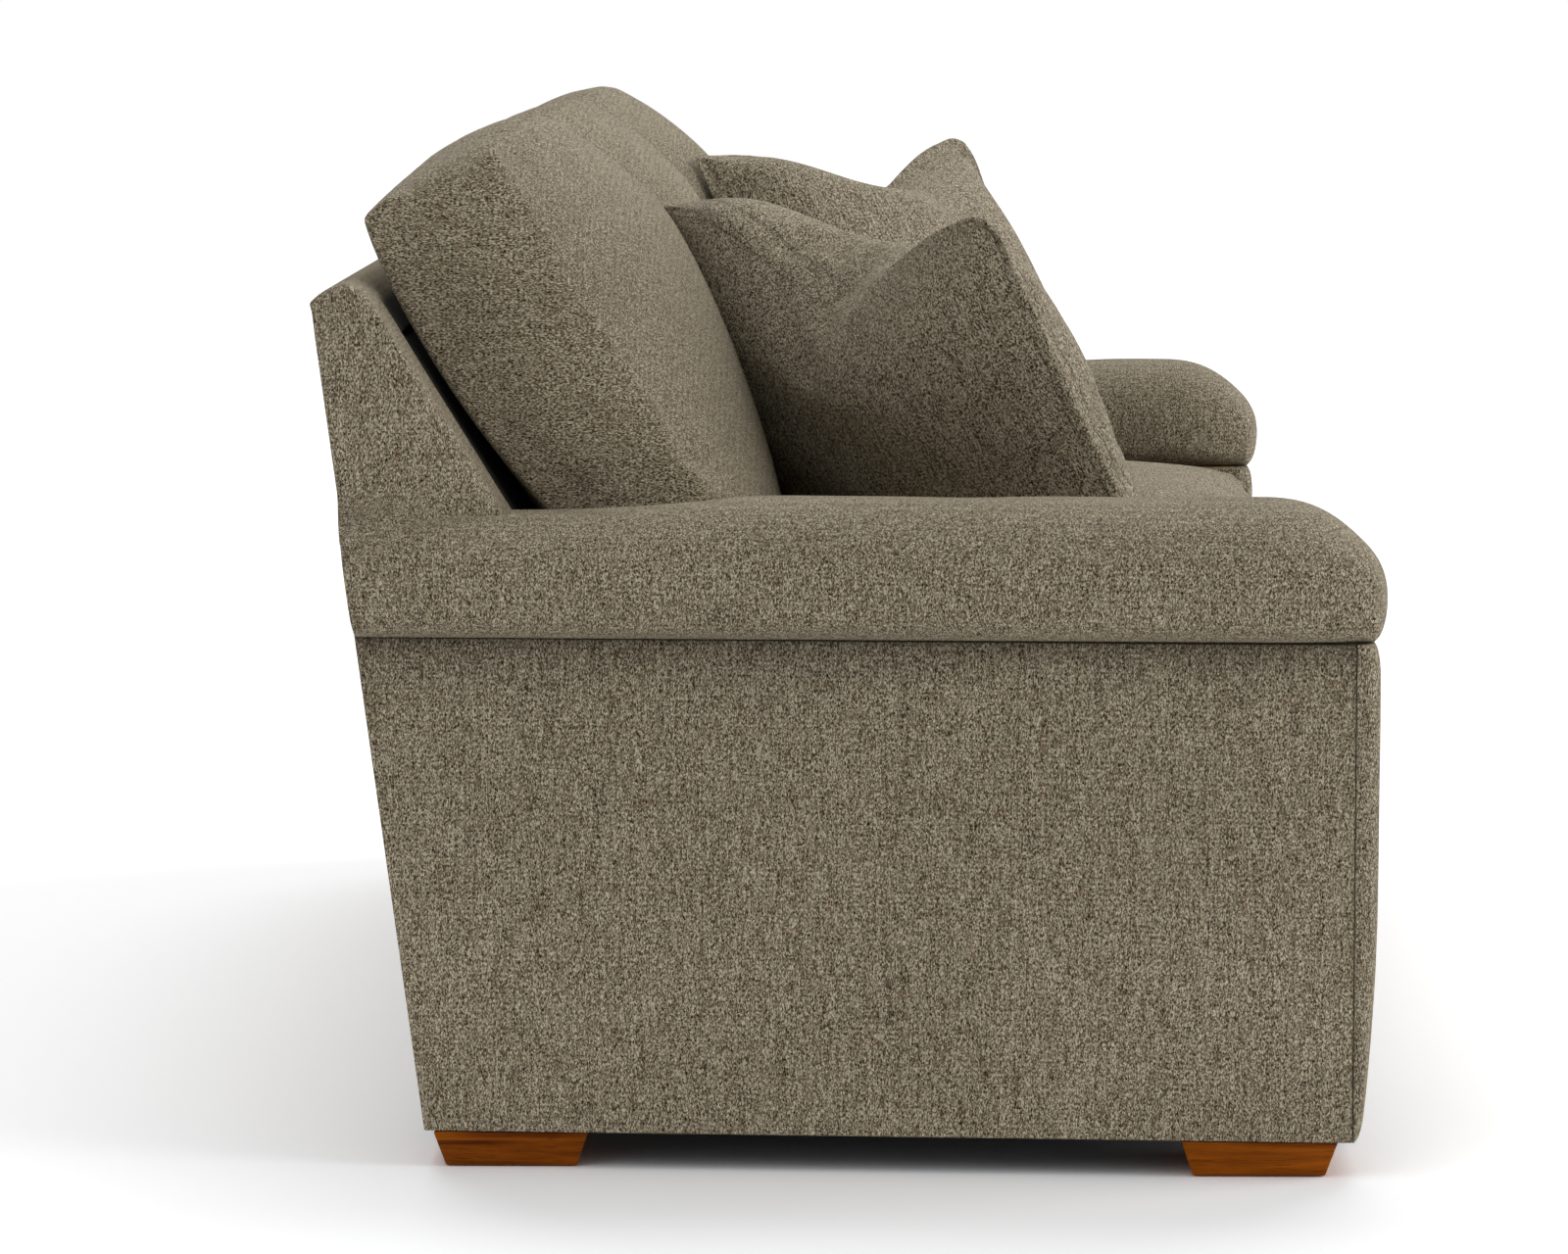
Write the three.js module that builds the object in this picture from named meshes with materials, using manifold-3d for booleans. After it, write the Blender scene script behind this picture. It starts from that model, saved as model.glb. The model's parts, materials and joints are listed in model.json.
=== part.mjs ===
import * as THREE from 'three';
import { mergeVertices } from 'three/addons/utils/BufferGeometryUtils.js';
import Module from 'manifold-3d';

// A three-seat sofa with padded roll arms, in millimetres.
// X runs along the seat, the front faces -Y, Z is up, and the origin is on the floor under the middle.

const wasm = await Module();
wasm.setup();
const { lerp, degToRad, smoothstep } = THREE.MathUtils;

// Overall sizes
const overallDepth = 998;
const seatHalfWidth = 930;          // middle of the sofa to the inside face of an arm
const armFrontWidth = 188;          // arm below the roll, at its front
const armToeDegrees = 3.4;          // outside arm faces spread towards the front
const backCornerHeight = 808;       // sharp corner where the outside back ends
const backRakeDegrees = 7.67;       // lean of the outside back
const insideRakeDegrees = 31.8;     // lean of the inside back and the back cushions
const gap = 0.3;                    // clearance between pieces that touch
const overrun = 5;                  // extra length of a cutting tool

// Feet
const footHeight = 34.5;
const footTopWidth = 145;
const footBottomWidth = 123;
const footSetback = 3;              // foot top edge behind the outside arm face
const rearFootInset = 10;           // rear foot top edge in front of the outside back
const glideRadius = 14;
const glideThickness = 5;
const glideProud = 1;
const glideSides = 20;
const boltRadius = 4;
const boltSides = 10;
const boltDepthInFoot = 20;
const boltDepthInBlock = 40;

// Hardwood frame
const dustCoverThickness = 1.2;
const frameThickness = 28;
const seatRailTop = 318;
const rearRailHeight = 114;
const sideRailHeight = 110;
const centreRailHeight = 90;
const cornerBlockHeight = 60;
const cornerBlockLength = 105;
const rearSeatRailHeight = 100;
const lowerBackRailHeight = 54;
const lowerBackRailBase = 343;
const armPostDepth = 27.7;
const armRearPostDepth = 40;
const armBoardThickness = 20;
const backRailThickness = 27.7;
const backTopRailHeight = 34.7;
const backTopRailBase = 740;
const backPostPlaces = 310;         // middle of the sofa to a middle back post

// Springs and deck
const wireThickness = 4;
const seatSpringCount = 12;
const backSpringCount = 9;
const springBends = 14;
const springReach = 22;             // half the width of a spring's zigzag
const springEndMargin = 60;
const tieThickness = 3;
const tieShares = [11 / 28, 19 / 28]; // of a spring's length, halfway along a bend
const deckThickness = 20;

// Upholstered panels
const panelBase = 35;
const seamHeight = 500;             // seam under the arm roll
const panelThickness = 16;
const backPanelThickness = 6;
const frontPanelSetback = 10;       // side panel's front edge behind the roll's front face
const frontPanelBulge = 16.5;
const frontPanelFootRound = 9;
const frontPanelSteps = 8;
const frontPanelEndShare = 0.06;
const innerPanelBase = 330;
const borderThickness = 23.7;
const borderTop = 342;
const backThickness = 53;           // outside to inside back at the height of wingCrownHeight
const backPadThickness = 35;
const wingCrownHeight = 818;
const wingLead = 15;                // wing edge in front of the inside back
const wingInset = 30;               // wing face inboard of the outside arm face
const wingDrop = 60;                // length of wing below the arm crest, before the roll is cut out of it
const backTopHeight = 826;
const backPanelTop = 802;
const topCurveSteps = 6;
const topRearRound = 17;
const topFrontRound = 30;
const topFlat = 14;

// Arm roll
const rollOverhang = 25;
const rollHeight = 128;
const rollRearHeight = 114;
const rollDipStart = 60;
const rollDipEnd = 250;
const rollWidestRise = 48;          // widest place above the seam
const rollCrownPower = 0.86;
const rollBasePower = 0.5;
const rollShoulder = 95;            // length over which the front end rounds off
const rollShoulderDrop = 41;
const rollShoulderPower = 1.5;
const rollShoulderTuck = 16;
const rollNose = 15;                // bulge of the front end
const rollSides = 24;
const rollSteps = 14;
const rollNoseRings = 3;
const rollSpread = 1.8;             // crowds the roll's rings towards its front

// Seat cushions
const cushionCount = 3;
const cushionClearance = 3;
const seatCushionLip = 5;           // seat cushion in front of the border
const seatCushionRearGap = 5.2;     // to the inside back
const seatCushionEdge = 496;
const seatCushionCrown = 23;
const cushionDraw = 8;
const cushionNose = 9;
const crownPower = 0.75;
const seatSegments = [10, 10, 3];

// Back cushions, which lean back with their foot flat on the seat
const backCushionTopHeight = 878;
const backCushionBaseDepth = 172;
const backCushionTopDepth = 131;
const backCushionTopRise = 71;      // front top edge above the rear one
const backCushionRearInset = 10;    // rear edges in front of the inside back
const backCushionTopCurl = 16;      // extra inset of the rear top edge
const backCushionCrown = 84;
const backPeakShare = 0.75;
const backTopFallShare = 0.8;
const backRearTopShare = 0.6;
const backCushionTopCrown = 30;
const backSegments = [10, 4, 10];

// Throw pillows, standing in the corners on one edge
const pillowWidth = 470;
const pillowHeight = 449;
const pillowThickness = 160;
const pillowEdge = 7;
const pillowPinch = 26;
const pillowPower = 0.62;
const pillowChop = 68;              // drop of the top seam at its middle
const pillowChopSetback = 25;       // of that drop, towards the rear face
const pillowChopShare = 0.5;        // of half the width, on each side of the middle
const chopRearShare = 0.2;          // of half the height, from where the rear face follows the drop
const chopFrontShare = 0.83;
const pillowSegments = 12;
const pillowTurnDegrees = 42;
const pillowFootFromArm = 256;      // lower front corner to the inside face of the arm
const pillowFootFromBack = 388;     // lower front corner to the foot of the back cushions
const leftPillowLeanDegrees = 35.4;
const rightPillowLeanDegrees = 33.4;

// Values that follow from the sizes above
const tan = (degrees) => Math.tan(degToRad(degrees));
const armToe = tan(armToeDegrees);
const backRake = tan(backRakeDegrees);
const insideRake = tan(insideRakeDegrees);
const frameBase = footHeight + dustCoverThickness + gap + gap;
const rollFaceFront = overallDepth / 2 - rollNose;
const sidePanelFront = rollFaceFront - frontPanelSetback;
const frontRailFace = sidePanelFront - panelThickness;
const seatCushionFront = frontRailFace + gap + borderThickness + seatCushionLip;
const outerX = (y) => seatHalfWidth + armFrontWidth - armToe * (y + rollFaceFront);
const rearAt = (z) => overallDepth / 2 - backRake * (backCornerHeight - z);
const innerRearAt = (z) => rearAt(z) - backPanelThickness - gap;
const insideAt = (z) => overallDepth / 2 - backThickness - insideRake * (wingCrownHeight - z);
const wingAt = (z) => insideAt(z) - wingLead;
const armInner = seatHalfWidth + panelThickness + gap;
const armPostRear = -sidePanelFront + gap + armPostDepth;
const rearRailFace = innerRearAt(frameBase) - frameThickness;
const lowerBackRailTop = lowerBackRailBase + lowerBackRailHeight;
const postFront = insideAt(lowerBackRailTop) + backPadThickness + backRailThickness;
const backSpringBase = lowerBackRailTop + gap;
const seatCushionDepth = insideAt(backSpringBase) - seatCushionRearGap + seatCushionFront;
const springPlane = seatRailTop + gap;
const deckBase = springPlane + wireThickness + gap;
const deckTop = deckBase + deckThickness;

const rollWidest = seamHeight + rollWidestRise;
const rollCrest = seamHeight + rollHeight;
const rollRearCrest = seamHeight + rollRearHeight;

const sofa = new THREE.Group();
const colours = {
  fabric: 0x8a8170, hardwood: 0xc9a877, footWood: 0x6e3910, steel: 0x8f9296,
  felt: 0x3f3d3a, liner: 0x222222, nylon: 0x2b2b2b,
};

// Each piece gets a material of its own, with the finish of its kind.
function finish(kind) {
  const metal = kind === 'steel';
  return new THREE.MeshStandardMaterial({
    color: colours[kind], roughness: metal ? 0.4 : 0.9, metalness: metal ? 1 : 0,
  });
}

// Leaves only positions, with the corners that faces share merged.
function welded(geometry) {
  const bare = geometry.clone();
  bare.deleteAttribute('normal');
  bare.deleteAttribute('uv');
  return mergeVertices(bare);
}

function addPiece(name, kind, geometry) {
  const clean = welded(geometry);
  clean.computeVertexNormals();
  const mesh = new THREE.Mesh(clean, finish(kind));
  mesh.name = name;
  sofa.add(mesh);
  return mesh;
}

// Turns a geometry inside X = 0 over to the other side, with its faces still pointing out.
function mirrored(geometry) {
  const copy = welded(geometry);
  copy.scale(-1, 1, 1);
  const index = copy.getIndex();
  for (let i = 0; i < index.count; i += 3) {
    const first = index.getX(i);
    index.setX(i, index.getX(i + 1));
    index.setX(i + 1, first);
  }
  return copy;
}

// Adds a piece made for the right side, and its mirror image on the left.
function addPair(name, kind, geometry) {
  addPiece(`${name}_right`, kind, geometry);
  addPiece(`${name}_left`, kind, mirrored(geometry));
}

// Moves each corner of a geometry to the place that move gives it.
function reshaped(geometry, move) {
  const points = geometry.getAttribute('position');
  const point = new THREE.Vector3();
  for (let i = 0; i < points.count; i += 1) {
    point.fromBufferAttribute(points, i);
    move(point);
    points.setXYZ(i, point.x, point.y, point.z);
  }
  return geometry;
}

function block(x0, x1, y0, y1, z0, z1) {
  const box = new THREE.BoxGeometry(x1 - x0, y1 - y0, z1 - z0);
  return box.translate((x0 + x1) / 2, (y0 + y1) / 2, (z0 + z1) / 2);
}

// A block whose outer face follows the toe of the arm, at a distance inboard of it.
function armBlock(x0, inset, y0, y1, z0, z1) {
  return reshaped(block(0, 1, y0, y1, z0, z1), (point) => {
    point.x = lerp(x0, outerX(point.y) - inset, point.x);
  });
}

// A block that leans with the outside back: its rear face lies at rear(z) and its front at front(z).
function leaningBlock(x0, x1, z0, z1, front, rear) {
  return reshaped(block(x0, x1, -1, 1, z0, z1), (point) => {
    point.y = point.y > 0 ? rear(point.z) : front(point.z);
  });
}

// An outline in Y and Z, carried along X.
function sidewaysExtrusion(outline, x0, x1) {
  const shape = new THREE.Shape(outline.map(([y, z]) => new THREE.Vector2(y, z)));
  const solid = new THREE.ExtrudeGeometry(shape, { depth: x1 - x0, bevelEnabled: false });
  const turn = new THREE.Matrix4().makeBasis(
    new THREE.Vector3(0, 1, 0), new THREE.Vector3(0, 0, 1), new THREE.Vector3(1, 0, 0),
  );
  return solid.applyMatrix4(turn).translate(x0, 0, 0);
}

function upright(radius, z0, z1, sides, x, y) {
  const rod = new THREE.CylinderGeometry(radius, radius, z1 - z0, sides);
  return rod.rotateX(Math.PI / 2).translate(x, y, (z0 + z1) / 2);
}

function toSolid(geometry) {
  const bare = welded(geometry);
  return new wasm.Manifold(new wasm.Mesh({
    numProp: 3,
    vertProperties: new Float32Array(bare.getAttribute('position').array),
    triVerts: new Uint32Array(bare.getIndex().array),
  }));
}

function toGeometry(solid) {
  const mesh = solid.getMesh();
  const geometry = new THREE.BufferGeometry();
  geometry.setAttribute('position', new THREE.BufferAttribute(mesh.vertProperties, 3));
  geometry.setIndex(new THREE.BufferAttribute(mesh.triVerts, 1));
  return geometry;
}

function cut(geometry, ...tools) {
  return toGeometry(tools.reduce((solid, tool) => solid.subtract(toSolid(tool)), toSolid(geometry)));
}

function joined(...pieces) {
  return toGeometry(pieces.map(toSolid).reduce((whole, piece) => whole.add(piece)));
}

// Feet: tapered blocks, each with a bolt into the corner block above it and a glide let in below
const footPlaces = [
  {
    name: 'front',
    y: footTopWidth / 2 - frontRailFace,
    blockFront: armPostRear + gap,
  },
  {
    name: 'rear',
    y: rearAt(footHeight) - rearFootInset - footTopWidth / 2,
    blockFront: rearRailFace - armRearPostDepth + frameThickness - gap - cornerBlockLength,
  },
];
for (const foot of footPlaces) {
  foot.x = outerX(foot.y) - footSetback - footTopWidth / 2;
}

function boltHole(foot, z0, z1) {
  return upright(boltRadius + gap, z0, z1, boltSides, foot.x, foot.y);
}

function makeFoot(foot) {
  const taper = footBottomWidth / footTopWidth;
  const half = footTopWidth / 2;
  const body = reshaped(block(-half, half, -half, half, glideProud, footHeight), (point) => {
    const share = point.z < footHeight / 2 ? taper : 1;
    point.x *= share;
    point.y *= share;
  }).translate(foot.x, foot.y, 0);
  const pocket = upright(
    glideRadius + gap, glideProud - overrun, glideThickness + gap, glideSides, foot.x, foot.y,
  );
  return cut(body, pocket, boltHole(foot, footHeight - boltDepthInFoot - gap, footHeight + overrun));
}

for (const foot of footPlaces) {
  const blockTop = frameBase + cornerBlockHeight;
  const boltTop = frameBase + boltDepthInBlock;
  const cornerBlock = armBlock(
    armInner, panelThickness + gap + frameThickness + gap,
    foot.blockFront, foot.blockFront + cornerBlockLength, frameBase, blockTop,
  );
  addPair(`foot_${foot.name}`, 'footWood', makeFoot(foot));
  addPair(`foot_glide_${foot.name}`, 'nylon', upright(
    glideRadius, 0, glideThickness, glideSides, foot.x, foot.y,
  ));
  addPair(`foot_bolt_${foot.name}`, 'steel', upright(
    boltRadius, footHeight - boltDepthInFoot, boltTop, boltSides, foot.x, foot.y,
  ));
  addPair(`corner_block_${foot.name}`, 'hardwood', cut(
    cornerBlock, boltHole(foot, frameBase - overrun, boltTop + gap),
  ));
}

// Dust cover: thin cloth stapled under the whole frame, with the bolts passing through it
function makeDustCover() {
  const base = footHeight + gap;
  const front = -frontRailFace;
  const rear = rearRailFace + frameThickness;
  const cover = reshaped(block(-1, 1, front, rear, base, base + dustCoverThickness), (point) => {
    point.x *= outerX(point.y) - panelThickness - gap;
  });
  const holes = footPlaces.flatMap((foot) => {
    const hole = boltHole(foot, base - overrun, base + dustCoverThickness + overrun);
    return [hole, mirrored(hole)];
  });
  return cut(cover, ...holes);
}
addPiece('dust_cover', 'liner', makeDustCover());

// Base frame
const railEnd = armInner - gap;
addPiece('front_rail', 'hardwood', block(
  -railEnd, railEnd, -frontRailFace, -frontRailFace + frameThickness, frameBase, seatRailTop,
));
addPiece('rear_rail', 'hardwood', leaningBlock(
  -railEnd, railEnd, frameBase, frameBase + rearRailHeight,
  (z) => innerRearAt(z) - frameThickness, innerRearAt,
));
addPiece('centre_rail', 'hardwood', block(
  -frameThickness / 2, frameThickness / 2, -frontRailFace + frameThickness + gap, rearRailFace - gap,
  frameBase, frameBase + centreRailHeight,
));
addPiece('rear_seat_rail', 'hardwood', block(
  -railEnd, railEnd, postFront - gap - backRailThickness, postFront - gap,
  seatRailTop - rearSeatRailHeight, seatRailTop,
));
addPair('side_rail', 'hardwood', reshaped(block(
  0, 1, armPostRear + gap, innerRearAt(frameBase) - armRearPostDepth - gap,
  frameBase, frameBase + sideRailHeight,
), (point) => {
  point.x = outerX(point.y) - panelThickness - gap - (1 - point.x) * frameThickness;
}));

// Arm frame
const boardTop = seamHeight - gap;
const boardBase = boardTop - armBoardThickness;
addPair('arm_front_post', 'hardwood', armBlock(
  armInner, panelThickness + gap, -sidePanelFront + gap, armPostRear, frameBase, boardBase - gap,
));
addPair('arm_rear_post', 'hardwood', reshaped(block(0, 1, -1, 1, frameBase, boardBase - gap), (point) => {
  point.y = innerRearAt(point.z) - (point.y > 0 ? 0 : armRearPostDepth);
  point.x = point.x > 0 ? outerX(point.y) - panelThickness - gap : armInner;
}));
addPair('arm_top_board', 'hardwood', armBlock(
  armInner, panelThickness + gap, -sidePanelFront + gap, innerRearAt(boardBase), boardBase, boardTop,
));

// Back frame: wedge-shaped posts that stand on the rear rail, with rails across them
const postBase = frameBase + rearRailHeight + gap;
const postTop = backTopRailBase - gap;
const postSlopeOffset = backPadThickness + gap + wireThickness + gap + gap;
const postKnee = wingCrownHeight - (insideAt(wingCrownHeight) + postSlopeOffset - postFront) / insideRake;
const postOutline = [
  [innerRearAt(postBase) - frameThickness, postBase],
  [innerRearAt(postBase), postBase],
  [innerRearAt(postTop), postTop],
  [insideAt(postTop) + postSlopeOffset, postTop],
  [postFront, postKnee],
  [postFront, seatRailTop - rearSeatRailHeight],
];
const postPlaces = [seatHalfWidth - gap - frameThickness / 2, backPostPlaces];
['back_post_outer', 'back_post_inner'].forEach((name, i) => {
  const x = postPlaces[i];
  addPair(name, 'hardwood', sidewaysExtrusion(postOutline, x - frameThickness / 2, x + frameThickness / 2));
});
const backEnd = seatHalfWidth - gap;
addPiece('lower_back_rail', 'hardwood', block(
  -backEnd, backEnd, postFront - gap - backRailThickness, postFront - gap,
  lowerBackRailBase, lowerBackRailTop,
));
const backTopRailTop = backTopRailBase + backTopRailHeight;
addPiece('back_top_rail', 'hardwood', leaningBlock(
  -backEnd, backEnd, backTopRailBase, backTopRailTop,
  (z) => insideAt(z) + backPadThickness + gap, innerRearAt,
));

// Springs: zigzag wires in a row, linked by tie wires
function zigzag(length) {
  const left = [];
  const right = [];
  for (let i = 0; i <= springBends; i += 1) {
    const side = i % 2 === 0 ? -springReach : springReach;
    const along = (length * i) / springBends;
    left.push(new THREE.Vector2(side - wireThickness, along));
    right.unshift(new THREE.Vector2(side + wireThickness, along));
  }
  const outline = new THREE.Shape([...left, ...right]);
  return new THREE.ExtrudeGeometry(outline, { depth: wireThickness, bevelEnabled: false });
}

function springUnit(count, length, halfWidth) {
  const first = -halfWidth + springEndMargin;
  const pitch = (-2 * first) / (count - 1);
  const springs = Array.from({ length: count }, (_, i) => zigzag(length).translate(first + i * pitch, 0, 0));
  const ties = tieShares.map((share) => {
    const tie = new THREE.BoxGeometry(-2 * first, tieThickness, tieThickness);
    return tie.translate(0, length * share, wireThickness / 2);
  });
  return joined(...springs, ...ties);
}

const seatSpringStart = -frontRailFace + frameThickness / 2;
const seatSpringLength = postFront - gap - backRailThickness / 2 - seatSpringStart;
addPiece('seat_spring_unit', 'steel', springUnit(seatSpringCount, seatSpringLength, seatHalfWidth)
  .translate(0, seatSpringStart, springPlane));

addPiece('back_spring_unit', 'steel', reshaped(
  springUnit(backSpringCount, backTopRailBase - gap - backSpringBase, seatHalfWidth),
  (point) => {
    const z = backSpringBase + point.y;
    point.y = insideAt(z) + backPadThickness + gap + wireThickness - point.z;
    point.z = z;
  },
));

// Deck over the seat springs
addPiece('seat_deck', 'felt', block(
  -backEnd, backEnd, -frontRailFace, postFront - gap, deckBase, deckTop,
));

// Arm upholstery below the roll
const panelTop = seamHeight - gap;
addPair('outer_arm_panel', 'fabric', reshaped(block(0, 1, -1, 1, panelBase, panelTop), (point) => {
  point.y = point.y > 0 ? innerRearAt(point.z) : -sidePanelFront + gap;
  point.x = outerX(point.y) - (1 - point.x) * panelThickness;
}));
addPair('inner_arm_panel', 'fabric', reshaped(block(
  seatHalfWidth, seatHalfWidth + panelThickness, -1, 1, innerPanelBase, panelTop,
), (point) => {
  point.y = point.y > 0 ? innerRearAt(point.z) : -sidePanelFront + gap;
}));

// The padded front of an arm bulges forward, and rounds under at its foot.
function frontPanelOutline() {
  const outline = [[-sidePanelFront, panelTop], [-sidePanelFront, panelBase]];
  const height = panelTop - panelBase;
  for (let i = 0; i <= frontPanelSteps; i += 1) {
    const share = i / frontPanelSteps;
    const swell = Math.sqrt(Math.sin(Math.PI * lerp(frontPanelEndShare, 1 - frontPanelEndShare, share)));
    const rise = share === 0 ? frontPanelFootRound / 2 : height * share;
    outline.push([-sidePanelFront - frontPanelBulge * swell, panelBase + rise]);
  }
  return outline;
}
addPair('arm_front_panel', 'fabric', reshaped(
  sidewaysExtrusion(frontPanelOutline(), 0, 1),
  (point) => {
    point.x = lerp(seatHalfWidth, outerX(point.y), point.x);
  },
));
addPiece('front_border', 'fabric', block(
  -backEnd, backEnd, -frontRailFace - gap - borderThickness, -frontRailFace - gap, panelBase, borderTop,
));

// The middle of the roll's width
function rollMiddle(y) {
  return (outerX(y) + rollOverhang + seatHalfWidth) / 2;
}

// Arm roll: a rounded section that swells over the outside panel, rounds off at the front
// and dips a little towards the back. grow makes the section that much larger all round.
function rollSection(angle, y, grow) {
  const shoulder = shoulderShare(y);
  const outer = outerX(y) + rollOverhang + grow - rollShoulderTuck * shoulder;
  const inner = seatHalfWidth - grow + rollShoulderTuck * shoulder;
  const dip = smoothstep(y, rollDipStart, rollDipEnd);
  const crest = lerp(rollCrest, rollRearCrest, dip) + grow - rollShoulderDrop * shoulder;
  const power = Math.sin(angle) > 0 ? rollCrownPower : rollBasePower;
  const reach = Math.sin(angle) > 0 ? crest - rollWidest : rollWidest - seamHeight + grow;
  const bend = (value) => Math.sign(value) * Math.abs(value) ** power;
  return {
    x: (inner + outer) / 2 + ((outer - inner) / 2) * bend(Math.cos(angle)),
    z: rollWidest + reach * bend(Math.sin(angle)),
  };
}

// The front end rounds off over a shoulder before its bulging face.
function shoulderShare(y) {
  return Math.max(0, 1 - (y + rollFaceFront) / rollShoulder) ** rollShoulderPower;
}

function makeRoll(grow) {
  const rings = rollSteps + rollNoseRings;
  const tube = new THREE.CylinderGeometry(1, 1, rings, rollSides, rings);
  return reshaped(tube, (point) => {
    const ring = point.y + rings / 2;
    const radius = Math.hypot(point.x, point.z);
    const noseShare = Math.min(1, (ring + radius) / (rollNoseRings + 1));
    const along = (Math.max(0, ring - rollNoseRings) / rollSteps) ** rollSpread;
    const size = ring < rings ? radius * Math.sin(noseShare * Math.PI / 2) : radius;
    const bulge = (rollNose + grow) * Math.cos(noseShare * Math.PI / 2);
    const angle = Math.atan2(-point.x, point.z);
    const roughY = lerp(-rollFaceFront, innerRearAt(rollWidest), along);
    const full = rollSection(angle, roughY, grow);
    const middle = rollMiddle(roughY);
    const x = middle + (full.x - middle) * size;
    const z = rollWidest + (full.z - rollWidest) * size;
    const rear = innerRearAt(z) + grow;
    point.set(x, lerp(-rollFaceFront, rear, along) - bulge, z);
  });
}
addPair('arm_roll', 'fabric', makeRoll(0));

// Back: outline of its padded top in Y and Z, with the front face at front(z) and the base at z0
function topOutline(front, z0) {
  const ledge = backPanelTop + gap;
  const crest = front(backTopHeight);
  const outline = new THREE.Path();
  outline.moveTo(front(z0), z0);
  outline.lineTo(innerRearAt(z0), z0);
  outline.lineTo(innerRearAt(ledge), ledge);
  outline.lineTo(rearAt(ledge), ledge);
  outline.lineTo(rearAt(backCornerHeight), backCornerHeight);
  outline.quadraticCurveTo(
    rearAt(backCornerHeight) - topRearRound, backTopHeight, crest + topFlat, backTopHeight,
  );
  outline.quadraticCurveTo(
    crest, backTopHeight, front(backTopHeight - topFrontRound), backTopHeight - topFrontRound,
  );
  return outline.getPoints(topCurveSteps).map((point) => [point.x, point.y]);
}

addPiece('inside_back_pad', 'fabric', leaningBlock(
  -backEnd, backEnd, backSpringBase, backTopRailTop,
  insideAt, (z) => insideAt(z) + backPadThickness,
));
addPiece('back_top_pad', 'fabric', sidewaysExtrusion(
  topOutline(insideAt, backTopRailTop + gap), -backEnd, backEnd,
));

function makeWing() {
  const outline = topOutline(wingAt, rollRearCrest - wingDrop);
  const wing = reshaped(sidewaysExtrusion(outline, 0, 1), (point) => {
    point.x = lerp(seatHalfWidth, outerX(point.y) - wingInset, point.x);
  });
  return cut(wing, makeRoll(gap));
}
addPair('back_wing', 'fabric', makeWing());

// The outside back follows the arms and rolls at the bottom, and the wings above them.
function makeOutsideBack() {
  const rearY = rearAt(seamHeight);
  const side = outerX(rearY);
  const wingSide = side - wingInset;
  const half = [[side, panelBase], [side, seamHeight]];
  for (let i = -rollSides / 4 + 1; i < rollSides / 4; i += 1) {
    const point = rollSection((i / rollSides) * 2 * Math.PI, rearY, 0);
    if (point.x > side || (point.z > rollWidest && point.x > wingSide)) half.push([point.x, point.z]);
  }
  const seat = half[half.length - 1][1] + panelThickness / 2;
  half.push([wingSide, seat]);
  half.push([wingSide, backPanelTop - topFrontRound], [wingSide - topFrontRound, backPanelTop]);
  const outline = [...half, ...half.map(([x, z]) => [-x, z]).reverse()];
  const shape = new THREE.Shape(outline.map(([x, z]) => new THREE.Vector2(x, z)));
  const solid = new THREE.ExtrudeGeometry(shape, { depth: 1, bevelEnabled: false }).rotateX(Math.PI / 2);
  return reshaped(solid, (point) => {
    point.y = rearAt(point.z) + point.y * backPanelThickness;
  });
}
addPiece('outside_back_panel', 'fabric', makeOutsideBack());

// Cushions: boxes whose faces swell to a crown and whose sides pull in between the corners
const cushionPitch = (2 * (seatHalfWidth - cushionClearance)) / cushionCount;
const cushionHalf = cushionPitch / 2 - cushionClearance / 2;
// A box with its corners at plus and minus 1, in shares of a cushion's half sizes
const shareBox = (segments) => new THREE.BoxGeometry(1, 1, 1, ...segments).scale(2, 2, 2);
const swellAcross = (u, v) => (Math.max(0, 1 - u * u) * Math.max(0, 1 - v * v)) ** crownPower;

const seatMiddleY = seatCushionDepth / 2 - seatCushionFront;
const seatHalfDepth = seatCushionDepth / 2;
const seatTopAt = (u, v) => seatCushionEdge + seatCushionCrown * swellAcross(u, v);

function makeSeatCushion(x) {
  const base = deckTop + gap;
  return reshaped(shareBox(seatSegments), (point) => {
    const { x: u, y: v, z: w } = point;
    const height = (w + 1) / 2;
    const front = v < 0 ? cushionNose * (1 - w * w) * (1 - u * u) : 0;
    const rear = v > 0 ? cushionDraw * (1 - u * u) * v : 0;
    point.x = x + u * (cushionHalf - cushionDraw * (1 - v * v));
    point.y = seatMiddleY + v * (seatHalfDepth - (v < 0 ? cushionNose : 0)) - front - rear;
    point.z = w === 1 ? seatTopAt(u, v) : lerp(base, seatCushionEdge, height);
  });
}

// The front of a back cushion swells most at three quarters of its height.
function frontSwell(height) {
  const rise = smoothstep(height, 0, backPeakShare);
  const over = Math.max(0, height - backPeakShare) / (1 - backPeakShare);
  return rise * Math.sqrt(1 - backTopFallShare * over * over);
}

// The foot of a back cushion rests on the crown of the seat cushion, at its front edge.
const backCushionFootY = insideAt(seatCushionEdge) - backCushionRearInset - backCushionBaseDepth;
const backCushionBase = seatTopAt(0, (backCushionFootY - seatMiddleY) / seatHalfDepth) + gap;

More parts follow.
